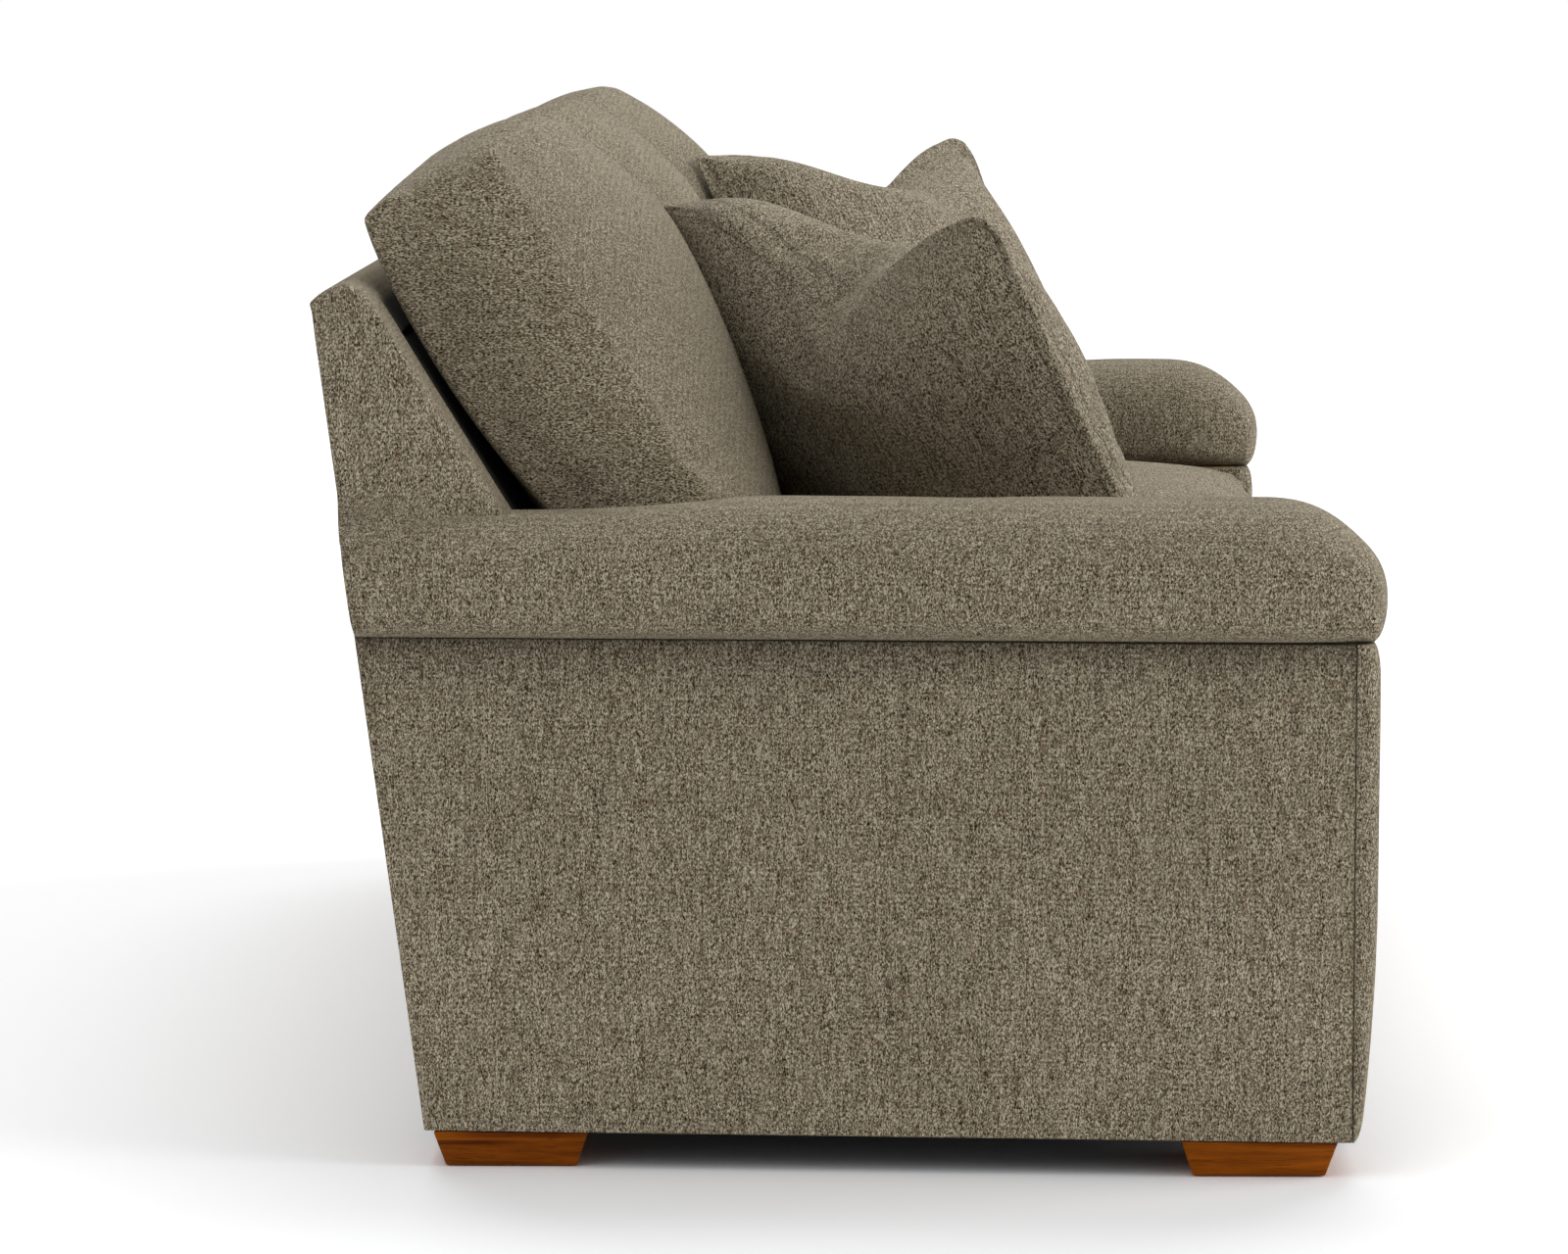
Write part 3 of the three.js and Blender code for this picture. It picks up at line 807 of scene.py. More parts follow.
def rounded(shares: Array, half: Sequence[float], radius: Any) -> Array:
    """Rounds the edges of a share box.

    Args:
        shares: Places on the box, from -1 to 1.
        half: Half the real size of the box along each axis.
        radius: Real radius of its edges, one or one for each place.

    Returns:
        The rounded places, as shares.
    """
    size = np.array(half)
    points = shares * size
    core = np.clip(points, -(size - radius), size - radius)
    out = points - core
    length = np.linalg.norm(out, axis=1, keepdims=True)
    return (core + out / np.maximum(length, 1e-9) * radius) / size


def mark_seams(mesh: bmesh.types.BMesh, distances: Array | float) -> None:
    """Stores each vertex's distance to the nearest seam, for the fabric to draw it.

    Args:
        mesh: The mesh.
        distances: One distance for each vertex, or one for all.
    """
    layer = mesh.verts.layers.float.get(SEAM_LAYER) or mesh.verts.layers.float.new(SEAM_LAYER)
    for vert, distance in zip(mesh.verts, np.broadcast_to(distances, len(mesh.verts))):
        vert[layer] = distance


def mark_shade(mesh: bmesh.types.BMesh, amounts: Array) -> None:
    """Stores how much painted shade darkens each vertex's colour, in place of shadow that falls there.

    Args:
        mesh: The mesh.
        amounts: Share of its colour that each vertex loses as painted shade. A share below 0 brightens it
            as painted light.
    """
    layer = mesh.verts.layers.float.new(SHADE_LAYER)
    for vert, amount in zip(mesh.verts, amounts):
        vert[layer] = amount


def ease_edges(mesh: bmesh.types.BMesh, edges: Sequence[bmesh.types.BMEdge], width: float) -> None:
    """Rounds sharp edges of a mesh.

    Args:
        mesh: The mesh.
        edges: Its edges to round.
        width: How far from each edge the round starts.
    """
    bmesh.ops.bevel(
        mesh, geom=edges, offset=width, offset_type="OFFSET", segments=3, profile=0.5,
        affect="EDGES", material=-1, clamp_overlap=True,
    )


def mirrored(mesh: bmesh.types.BMesh, side: Side) -> bmesh.types.BMesh:
    """Turns a mesh made for the right side over to the left where that is wanted.

    Args:
        mesh: The mesh, made for the right side.
        side: The side that it is wanted on.

    Returns:
        The same mesh.
    """
    if side is Side.LEFT:
        bmesh.ops.scale(mesh, vec=(-1.0, 1.0, 1.0), verts=mesh.verts)
        bmesh.ops.reverse_faces(mesh, faces=mesh.faces)
    return mesh


def normals_of(mesh: bmesh.types.BMesh) -> Array:
    """Returns the normal of each vertex, one row each."""
    mesh.normal_update()
    return np.array([vert.normal[:] for vert in mesh.verts])


@dataclass
class Workshop:
    """Turns meshes into pieces of the sofa, and keeps the materials that they share."""

    nodes: Mapping[str, bpy.types.Object]
    materials: dict[str, bpy.types.Material] = field(default_factory=dict)

    def material(self, finish: Any) -> bpy.types.Material:
        """Finds the material of a finish, made once.

        Args:
            finish: The finish.

        Returns:
            The material.
        """
        if finish.name not in self.materials:
            self.materials[finish.name] = finish.material()
        return self.materials[finish.name]

    def piece(
        self,
        name: str,
        mesh: bmesh.types.BMesh,
        finish: Any,
        slot: Slot,
        replaces: Sequence[str],
    ) -> bpy.types.Object:
        """Makes a piece that rides on the sofa's body.

        Args:
            name: Name of the piece.
            mesh: Its mesh, which is freed.
            finish: Its finish.
            slot: The record's slot of its material; not used.
            replaces: CAD nodes that it stands for.

        Returns:
            The piece's object.
        """
        if mesh.verts.layers.float.get(SEAM_LAYER) is None:
            mark_seams(mesh, FAR_FROM_SEAM)
        bmesh.ops.recalc_face_normals(mesh, faces=mesh.faces)
        for face in mesh.faces:
            face.smooth = True
        data = bpy.data.meshes.new(name)
        mesh.to_mesh(data)
        mesh.free()
        data.materials.append(self.material(finish))
        piece = add_object(name, data)
        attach(piece, BODY)
        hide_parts(*replaces)
        LOG.info("%s: %d faces, stands for %s", name, len(data.polygons), ", ".join(replaces))
        return piece

    def dress(self, finish: Any, *names: str) -> None:
        """Gives CAD nodes that stay a finish.

        Args:
            finish: The finish.
            names: Names of the nodes.
        """
        for name in names:
            node = self.nodes[name]
            node.data.materials.clear()
            node.data.materials.append(self.material(finish))
            LOG.info("%s: kept, in %s", name, finish.name)


# ---------------------------------------------------------------- arms


@dataclass
class Arm:
    """One arm: its flat upholstered faces and the padded roll on top of them."""

    sizes: SofaSizes
    side: Side
    fabric: Chenille
    panel_edge: float = 0.0018
    inner_panel_base: float = 0.330
    front_bulge: float = 0.0205
    front_edge: float = 0.030
    front_flat: float = 0.24
    front_heights: tuple[float, ...] = (
        0.035, 0.0365, 0.040, 0.046, 0.0532, 0.0846, 0.1295,
        0.188, 0.2418, 0.30, 0.473, 0.485, 0.494, 0.500,
    )
    front_shares: tuple[float, ...] = (
        0.0, 0.17, 0.296, 0.393, 0.459, 0.595, 0.736,
        0.884, 0.970, 1.0, 1.0, 0.956, 0.877, 0.754,
    )
    front_panel_edge: float = 0.0015
    front_wave_share: float = 0.6
    outer_ripple: Ripple = Ripple(0.0007, 0.16, 11)
    front_ripple: Ripple = Ripple(0.0006, 0.11, 23)
    roll_ripple: Ripple = Ripple(0.0009, 0.13, 37)
    ripple_start: float = 0.05
    ripple_free: tuple[float, float] = (0.004, 0.03)
    outer_inset: float = 0.0008
    # painted shadow under the roll's overhang, and how far down the panel it reaches
    roll_shade: float = 0.55
    roll_shade_reach: float = 0.022
    # painted light that brightens the panel towards its foot
    foot_light: float = 0.15
    front_seam_back: float = 0.0028
    roll_base_drop: float = 0.003
    overhang: float = 0.025
    crest: float = 0.628
    rear_crest: float = 0.614
    dip_start: float = 0.060
    dip_end: float = 0.250
    widest: float = 0.548
    crown_power: float = 0.86
    base_power: float = 0.5
    shoulder: float = 0.095
    shoulder_drop: float = 0.041
    shoulder_power: float = 2.4
    shoulder_tuck: float = 0.016
    ring_spread: float = 1.5
    nose_share: float = 0.14
    nose_middle: float = 0.537
    nose_bulge: float = 0.0195
    nose_upper_power: float = 2.4
    cap_share: float = 0.07

    def build(self, shop: Workshop) -> None:
        """Builds the arm's pieces.

        Args:
            shop: Makes the pieces.
        """
        word = self.side.word
        for name, make in (
            ("outer_arm_panel", self.outer_panel),
            ("inner_arm_panel", self.inner_panel),
            ("arm_front_panel", self.front_panel),
            ("arm_roll", self.roll),
        ):
            mesh = mirrored(make(), self.side)
            shop.piece(f"{name}_cover_{word}", mesh, self.fabric, Slot.UPHOLSTERY, [f"{name}_{word}"])

    def outer_panel(self) -> bmesh.types.BMesh:
        """Makes the outside panel, whose rear wraps round the outside back.

        Returns:
            The panel's mesh.
        """
        s = self.sizes
        mesh = share_box((4, 110, 60), (0.0, 0.9, 0.85))
        low, high = s.panel_base, s.seam_height - s.gap
        half = (s.panel_thickness / 2, (s.side_panel_front + s.inner_rear_at(low)) / 2, (high - low) / 2)

        def place(shares: Array) -> Array:
            """Places the panel's grid.

            Args:
                shares: Places on the share box, from -1 to 1.

            Returns:
                The real places.
            """
            u, v, w = ((rounded(shares, half, self.panel_edge) + 1) / 2).T
            z = lerp(low, high, w)
            x = s.outer_x(s.inner_rear_at(z)) - (1 - u) * s.panel_thickness
            y = lerp(-s.side_panel_front + self.front_seam_back + s.gap, s.rear_end_at(x, z), v)
            x = s.outer_x(y) - (1 - u) * s.panel_thickness
            inset = np.minimum(np.minimum(v, 1 - v) * 2 * half[1], np.minimum(w, 1 - w) * 2 * half[2])
            calm = smoothstep(inset, 0.0, self.ripple_start)
            wave = self.outer_ripple.at(np.column_stack([x, y, z])) * calm
            return np.column_stack([x + (wave - self.outer_inset) * u, y, z])

        below_roll = (1 - coordinates(mesh)[:, 2]) * half[2]
        reshape(mesh, place)
        # Painted shadow under the roll, less painted light that grows towards the panel's foot.
        painted_light = self.foot_light * smoothstep(below_roll, 0.0, 2 * half[2])
        mark_shade(mesh, self.roll_shade * np.exp(-below_roll / self.roll_shade_reach) - painted_light)
        return mesh

    def inner_panel(self) -> bmesh.types.BMesh:
        """Makes the inside panel, beside the seat cushion.

        Returns:
            The panel's mesh.
        """
        s = self.sizes
        mesh = share_box((2, 40, 14), (0.0, 0.8, 0.7))
        half = (s.panel_thickness / 2, s.side_panel_front, (s.seam_height - self.inner_panel_base) / 2)

        def place(shares: Array) -> Array:
            """Places the panel's grid.

            Args:
                shares: Places on the share box, from -1 to 1.

            Returns:
                The real places.
            """
            u, v, w = ((rounded(shares, half, self.panel_edge) + 1) / 2).T
            z = lerp(self.inner_panel_base, s.seam_height - s.gap, w)
            y = lerp(-s.side_panel_front + s.gap, s.inner_rear_at(z), v)
            return np.column_stack([s.seat_half_width + u * s.panel_thickness, y, z])

        reshape(mesh, place)
        return mesh

    def front_panel(self) -> bmesh.types.BMesh:
        """Makes the padded front, which bulges forward and runs in towards its foot.

        Returns:
            The panel's mesh.
        """
        s = self.sizes
        mesh = share_box((38, 8, 90), (0.85, 0.5, 0.85))
        low, high = s.panel_base, s.seam_height - s.gap
        half = (s.arm_front_width / 2, self.front_bulge / 2, (high - low) / 2)

        def place(shares: Array) -> Array:
            """Places the panel's grid.

            Args:
                shares: Places on the share box, from -1 to 1.

            Returns:
                The real places.
            """
            u, v, w = rounded(shares, half, self.front_panel_edge).T
            z = lerp(low, high, (w + 1) / 2)
            side = np.clip((1 - np.abs(u)) * half[0] / self.front_edge, 0.0, 1.0)
            edge = lerp(self.front_flat, 1.0, np.sqrt(1 - (1 - side) ** 2))
            forward = (1 - v) / 2
            profile = np.interp(z, self.front_heights, self.front_shares)
            bulge = (self.front_bulge + self.front_seam_back) * profile
            y = -s.side_panel_front + self.front_seam_back - forward * bulge * edge
            x = lerp(s.seat_half_width, s.outer_x(y), (u + 1) / 2)
            wave = self.front_ripple.at(np.column_stack([x, y, z])) * forward * smoothstep(side, 0.3, 1.0)
            return np.column_stack([x, y + wave * self.front_wave_share, z])

        reshape(mesh, place)
        return mesh

    def section(self, angle: Array, y: Array, round_share: Array) -> tuple[Array, Array]:
        """Works out X and Z of the roll's section.

        Args:
            angle: Angles round the section, from the outside over the crest.
            y: Y of the section.
            round_share: How far the section is drawn towards an ellipse, from 0 to 1.

        Returns:
            X and Z of each place.
        """
        s = self.sizes
        shoulder = np.maximum(0.0, 1 - (y + s.roll_face_front) / self.shoulder) ** self.shoulder_power
        outer = s.outer_x(y) + self.overhang - self.shoulder_tuck * shoulder
        inner = s.seat_half_width + self.shoulder_tuck * shoulder
        dip = smoothstep(y, self.dip_start, self.dip_end)
        crest = lerp(self.crest, self.rear_crest, dip) - self.shoulder_drop * shoulder
        up = np.sin(angle) > 0
        power = lerp(np.where(up, self.crown_power, self.base_power), 1.0, round_share)
        reach = np.where(up, crest - self.widest, self.widest - s.seam_height + self.roll_base_drop)
        across = np.sign(np.cos(angle)) * np.abs(np.cos(angle)) ** power
        rise = np.sign(np.sin(angle)) * np.abs(np.sin(angle)) ** power
        return (inner + outer) / 2 + (outer - inner) / 2 * across, self.widest + reach * rise

    def top_at(self, x: Array, y: Array) -> Array:
        """Works out the height of the roll's upper surface.

        Args:
            x: X of each place.
            y: Y of each place.

        Returns:
            The heights.
        """
        s = self.sizes
        outer = s.outer_x(y) + self.overhang
        middle, half = (s.seat_half_width + outer) / 2, (outer - s.seat_half_width) / 2
        across = np.clip(np.abs(x - middle) / half, 0.0, 1.0) ** (1 / self.crown_power)
        crest = lerp(self.crest, self.rear_crest, smoothstep(y, self.dip_start, self.dip_end))
        return self.widest + (crest - self.widest) * np.sqrt(1 - across**2) ** self.crown_power

    def roll(self) -> bmesh.types.BMesh:
        """Makes the roll, with a dome at its front and its rear wrapped round the outside back.

        Returns:
            The roll's mesh.
        """
        s = self.sizes
        mesh = bmesh.new()
        bmesh.ops.create_grid(mesh, x_segments=112, y_segments=170, size=1.0)

        def place(shares: Array) -> Array:
            """Wraps the grid into a tube with a dome.

            Args:
                shares: Places on the share box, from -1 to 1.

            Returns:
                The real places.
            """
            angle = (shares[:, 0] + 1) * math.pi - math.pi / 2
            run = (shares[:, 1] + 1) / 2
            nose = np.minimum(1.0, run / self.nose_share)
            cap = np.clip((run - 1) / self.cap_share + 1, 0.0, 1.0)
            straight = 1 - self.nose_share - self.cap_share
            along = np.clip((run - self.nose_share) / straight, 0.0, 1.0) ** self.ring_spread
            size = np.sin(nose * math.pi / 2)
            rough = lerp(-s.roll_face_front, s.inner_rear_at(self.widest), along)
            x, z = self.section(angle, rough, 1 - size)
            middle = (s.outer_x(rough) + self.overhang + s.seat_half_width) / 2
            centre = lerp(self.nose_middle, self.widest, along > 0)
            x = middle + (x - middle) * size * (1 - cap)
            z = centre + (z - centre) * size * (1 - cap)
            upper = smoothstep(np.sin(angle), -0.6, 0.6)
            dome = lerp(np.sqrt(1 - size**2), 1 - size**self.nose_upper_power, upper)
            y = lerp(-s.roll_face_front, s.rear_end_at(x, z), along) - self.nose_bulge * dome
            free = smoothstep(z, *(s.seam_height + height for height in self.ripple_free))
            wave = self.roll_ripple.at(np.column_stack([x, y, z])) * free * size * (1 - cap)
            out_x, out_z = x - middle, z - self.widest
            length = np.maximum(np.hypot(out_x, out_z), 1e-6)
            return np.column_stack([x + out_x / length * wave, y, z + out_z / length * wave])

        reshape(mesh, place)
        bmesh.ops.remove_doubles(mesh, verts=mesh.verts, dist=MERGE)
        bmesh.ops.holes_fill(mesh, edges=[e for e in mesh.edges if e.is_boundary], sides=0)
        return mesh


# ---------------------------------------------------------------- back


@dataclass
class Back:
    """The back: its outside panel, the pad and padded top inside it, and a wing at each end."""

    sizes: SofaSizes
    arm: Arm
    fabric: Chenille
    # a very dark platform cloth on the inside back, whose darkness also stands in as painted shade in the
    # gaps beside the back cushions
    platform_cloth: PlainCloth
    wing_inset: float = 0.030
    top_height: float = 0.826
    panel_top: float = 0.802
    pad_thickness: float = 0.035
    pad_base: float = 0.3973
    pad_top: float = 0.7747
    rear_round: float = 0.017
    front_round: float = 0.030
    flat: float = 0.014
    wing_foot: float = 0.554
    wing_front_round: float = 0.020
    wing_rear_round: float = 0.004
    wing_flare: float = 0.044
    flare_height: float = 0.055
    flare_power: float = 1.2
    # painted shadow on the top's front face, in the gap between the wings and the cushions
    hidden_shade: float = 0.98
    # painted shade just above the wing's foot, and how far up it reaches
    foot_shade: float = 0.26
    foot_shade_reach: float = 0.010
    shoulder_low: float = 0.600
    shoulder_high: float = 0.606
    lip_share: float = 0.965
    wing_half: tuple[float, float, float] = (0.060, 0.075, 0.125)
    wing_sink: float = 0.0015
    wing_wrap: float = 0.93
    wing_ripple: Ripple = Ripple(0.0008, 0.12, 41)
    top_half_depth: float = 0.04
    top_half_height: float = 0.025
    top_edge: float = 0.004
    pad_edge: float = 0.006
    pad_ripple: Ripple = Ripple(0.0012, 0.2, 53)
    panel_edge: float = 0.0022
    panel_inset: float = 0.0006
    panel_ripple: Ripple = Ripple(0.0006, 0.3, 61)
    panel_calm: tuple[float, float] = (0.005, 0.06)
    cut_reach: float = 1.05
    cut_margin: float = 0.02

    def build(self, shop: Workshop) -> None:
        """Builds the back's pieces.

        Args:
            shop: Makes the pieces.
        """
        slot = Slot.UPHOLSTERY
        shop.piece("outside_back_cover", self.outside(), self.fabric, slot, ["outside_back_panel"])
        # The inside back's dark cloth is a platform cloth and also painted shade for the gaps beside the
        # cushions.
        shop.piece("inside_back_cover", self.inside(), self.platform_cloth, slot, ["inside_back_pad"])
        shop.piece("back_top_cover", self.top(), self.fabric, slot, ["back_top_pad"])
        for side in Side:
            mesh = mirrored(self.wing(), side)
            shop.piece(f"back_wing_cover_{side.word}", mesh, self.fabric, slot, [f"back_wing_{side.word}"])

    def top_outline(self, front: Callable[[float], float], steps: int = 16) -> Array:
        """Returns the outline of the padded top, from its front to the sharp corner at its rear.

        Args:
            front: Y of the front face at a height.
            steps: Points in each of its two curves.

        Returns:
            Rows of Y and Z at even distances.
        """
        s = self.sizes
        crest = front(self.top_height)
        low = self.top_height - self.front_round
        corner = np.array([s.rear_at(s.back_corner_height), s.back_corner_height])
        start = np.array([front(low), low])
        middle = np.array([crest + self.flat, self.top_height])
        share = np.linspace(0.0, 1.0, steps)[:, None]

        def curve(a: Array, b: Array, c: Array) -> Array:
            """Returns points of a curve that leaves a and reaches c, drawn towards b."""
            return (1 - share) ** 2 * a + 2 * share * (1 - share) * b + share**2 * c

        forward = curve(start, np.array([crest, self.top_height]), middle)
        rear = curve(middle, np.array([corner[0] - self.rear_round, self.top_height]), corner)
        return np.vstack([forward, rear[1:]])

    def profile(self, front: Callable[[Any], Any], v: Array, w: Array, foot: Array) -> tuple[Array, Array]:
        """Works out Y and Z of a place in the profile of a padded top.

        Args:
            front: Y of the front face at a height.
            v: Share from front to rear.
            w: Share from the foot to the top.
            foot: Height of the foot at each place.

        Returns:
            Y and Z of each place.
        """
        s = self.sizes
        outline = self.top_outline(front)
        steps = np.concatenate([[0.0], np.cumsum(np.linalg.norm(np.diff(outline, axis=0), axis=1))])
        share = steps / steps[-1]
        top_y, top_z = np.interp(v, share, outline[:, 0]), np.interp(v, share, outline[:, 1])
        foot_y = lerp(front(foot), s.inner_rear_at(foot), v)
        lip = (s.back_panel_thickness + s.gap) * v**6 * smoothstep(w, self.lip_share, 1.0)
        under = top_y - (s.back_panel_thickness + s.gap) * v**6
        return lerp(foot_y, under, w) + lip, lerp(foot, top_z, w)

    def wing(self) -> bmesh.types.BMesh:
        """Makes a wing, whose foot spreads out over the roll.

        Returns:
            The wing's mesh.
        """
        s = self.sizes
        mesh = share_box((30, 40, 50), (0.85, 0.8, 0.75))

        def place(shares: Array) -> Array:
            """Places the wing's grid.

            Args:
                shares: Places on the share box, from -1 to 1.

            Returns:
                The real places.
            """
            radius = lerp(self.wing_front_round, self.wing_rear_round, (shares[:, 1:2] + 1) / 2)
            radius = radius * lerp(0.15, 1.0, smoothstep(shares[:, 2:3], -1.0, -0.8))
            u, v, w = ((rounded(shares, self.wing_half, radius) + 1) / 2).T
            foot = np.full(len(u), self.wing_foot)
            flare = self.wing_flare * np.maximum(v, 0.0) ** self.flare_power
            for _ in range(6):
                y, z = self.profile(s.wing_at, v, w, foot)
                spread = flare * (1 - smoothstep(z - foot, 0.0, self.flare_height)) ** 2
                x = lerp(s.seat_half_width, s.outer_x(y) - self.wing_inset + spread, u)
                y_foot, _ = self.profile(s.wing_at, v, w * 0, foot)
                x_foot = lerp(s.seat_half_width, s.outer_x(y_foot) - self.wing_inset + flare, u)
                foot = self.arm.top_at(x_foot, y_foot) - self.wing_sink
            wrap = s.rear_end_at(x, z, self.wing_inset) - s.inner_rear_at(z)
            y = y + wrap * smoothstep(v, self.wing_wrap, 1.0) * (1 - smoothstep(w, self.lip_share, 1.0))
            wave = self.wing_ripple.at(np.column_stack([x, y, z])) * smoothstep(w, 0.0, 0.25)
            return np.column_stack([x + wave * (u * 2 - 1), y, z])

        reach = (1 - coordinates(mesh)[:, 1]) / 2
        reshape(mesh, place)
        # Painted shade on the wing just above the roll, full over its front half and fading out towards the
        # rear.
        x, y, z = coordinates(mesh).T
        rise = np.maximum(z - self.arm.top_at(x, y), 0.0)
        shade = self.foot_shade * np.exp(-rise / self.foot_shade_reach)
        mark_shade(mesh, shade * smoothstep(reach, 0.0, 0.5))
        return mesh

    def top(self) -> bmesh.types.BMesh:
        """Makes the padded top between the wings.

        Returns:
            The top's mesh.
        """
        s = self.sizes
        mesh = share_box((120, 24, 10), (0.5, 0.4, 0.3))
        width = s.seat_half_width - s.gap
        half = (width, self.top_half_depth, self.top_half_height)

        def place(shares: Array) -> Array:
            """Places the top's grid.

            Args:
                shares: Places on the share box, from -1 to 1.

            Returns:
                The real places.
            """
            u, v, w = rounded(shares, half, self.top_edge).T
            foot = np.full(len(u), self.pad_top + s.gap)
            y, z = self.profile(s.inside_at, (v + 1) / 2, (w + 1) / 2, foot)
            return np.column_stack([u * width, y, z])

        # Painted shadow on the front face below the wings' tops, where it is seen through the gap beside
        # the cushions.
        front = smoothstep(-coordinates(mesh)[:, 1], 0.5, 0.85)
        reshape(mesh, place)
        below = 1 - smoothstep(coordinates(mesh)[:, 2], self.panel_top, self.top_height)
        mark_shade(mesh, self.hidden_shade * front * below)
        return mesh

    def inside(self) -> bmesh.types.BMesh:
        """Makes the pad on the inside back, behind the cushions.

        Returns:
            The pad's mesh.
        """
        s = self.sizes
        mesh = share_box((90, 4, 26), (0.6, 0.0, 0.6))
        width = s.seat_half_width - s.gap
        half = (width, self.pad_thickness / 2, (self.pad_top - self.pad_base) / 2)

        def place(shares: Array) -> Array:
            """Places the pad's grid.

            Args:
                shares: Places on the share box, from -1 to 1.

            Returns:
                The real places.
            """
            u, v, w = rounded(shares, half, self.pad_edge).T
            z = lerp(self.pad_base, self.pad_top, (w + 1) / 2)
            x = u * width
            wave = np.abs(self.pad_ripple.at(np.column_stack([x, z * 0, z]))) * (1 - v) / 2
            return np.column_stack([x, s.inside_at(z) + self.pad_thickness * (v + 1) / 2 + wave, z])

        reshape(mesh, place)
        return mesh

    def outside(self) -> bmesh.types.BMesh:
        """Makes the outside back, cut to the arms and rolls below and to the wings above.

        Returns:
            The outside back's mesh.
        """
        s = self.sizes
        side = s.outer_x(s.rear_at(s.seam_height)) - s.back_tuck
        wing_side = side - self.wing_inset
        edge = [(side, s.panel_base), (side, self.shoulder_low), (wing_side, self.shoulder_high)]
        for bend in np.linspace(0.0, math.pi / 2, 9):
            inward, down = 1 - math.cos(bend), 1 - math.sin(bend)
            edge.append((wing_side - self.front_round * inward, self.panel_top - self.front_round * down))
        outline = edge + [(-x, z) for x, z in reversed(edge)]
        mesh = bmesh.new()
        loop = [mesh.verts.new((x, 0.0, z)) for x, z in outline]
        face = mesh.faces.new(loop)
        grown = bmesh.ops.extrude_face_region(mesh, geom=[face])["geom"]
        moved = [g for g in grown if isinstance(g, bmesh.types.BMVert)]
        bmesh.ops.translate(mesh, vec=(0.0, s.back_panel_thickness, 0.0), verts=moved)
        bmesh.ops.recalc_face_normals(mesh, faces=mesh.faces)
        outer = [e for e in mesh.edges if all(v.co.y > s.back_panel_thickness / 2 for v in e.verts)]
        rim = [e for e in outer if e.calc_face_angle(0) > 0.5]
        ease_edges(mesh, rim, self.panel_edge)

        def place(points: Array) -> Array:
            """Leans the panel with the back."""
            x, y, z = points.T
            return np.column_stack([x, s.rear_at(z) - s.back_panel_thickness + y, z])

        heights = np.linspace(s.panel_base + self.cut_margin, self.panel_top - self.cut_margin, 24)
        for normal, places in (
            (Vector((0, 0, 1)), heights),
            (Vector((1, 0, 0)), np.linspace(-self.cut_reach, self.cut_reach, 64)),
        ):
            for offset in places:
                geom = [*mesh.verts, *mesh.edges, *mesh.faces]
                bmesh.ops.bisect_plane(mesh, geom=geom, plane_co=normal * float(offset), plane_no=normal)
        reshape(mesh, place)
        points = coordinates(mesh)
        x, y, z = points.T
        limit = np.where(z > self.shoulder_low, wing_side, side)
        inset = np.minimum(limit - np.abs(x), np.minimum(z - s.panel_base, self.panel_top - z))
        on_rear = s.rear_at(z) - y < 0.0005
        wave = np.where(on_rear, self.panel_ripple.at(points) - self.panel_inset, 0.0)
        wave = wave * smoothstep(inset, *self.panel_calm)
        for vert, shift in zip(mesh.verts, wave):
            vert.co.y += shift
        return mesh


# ---------------------------------------------------------------- seat


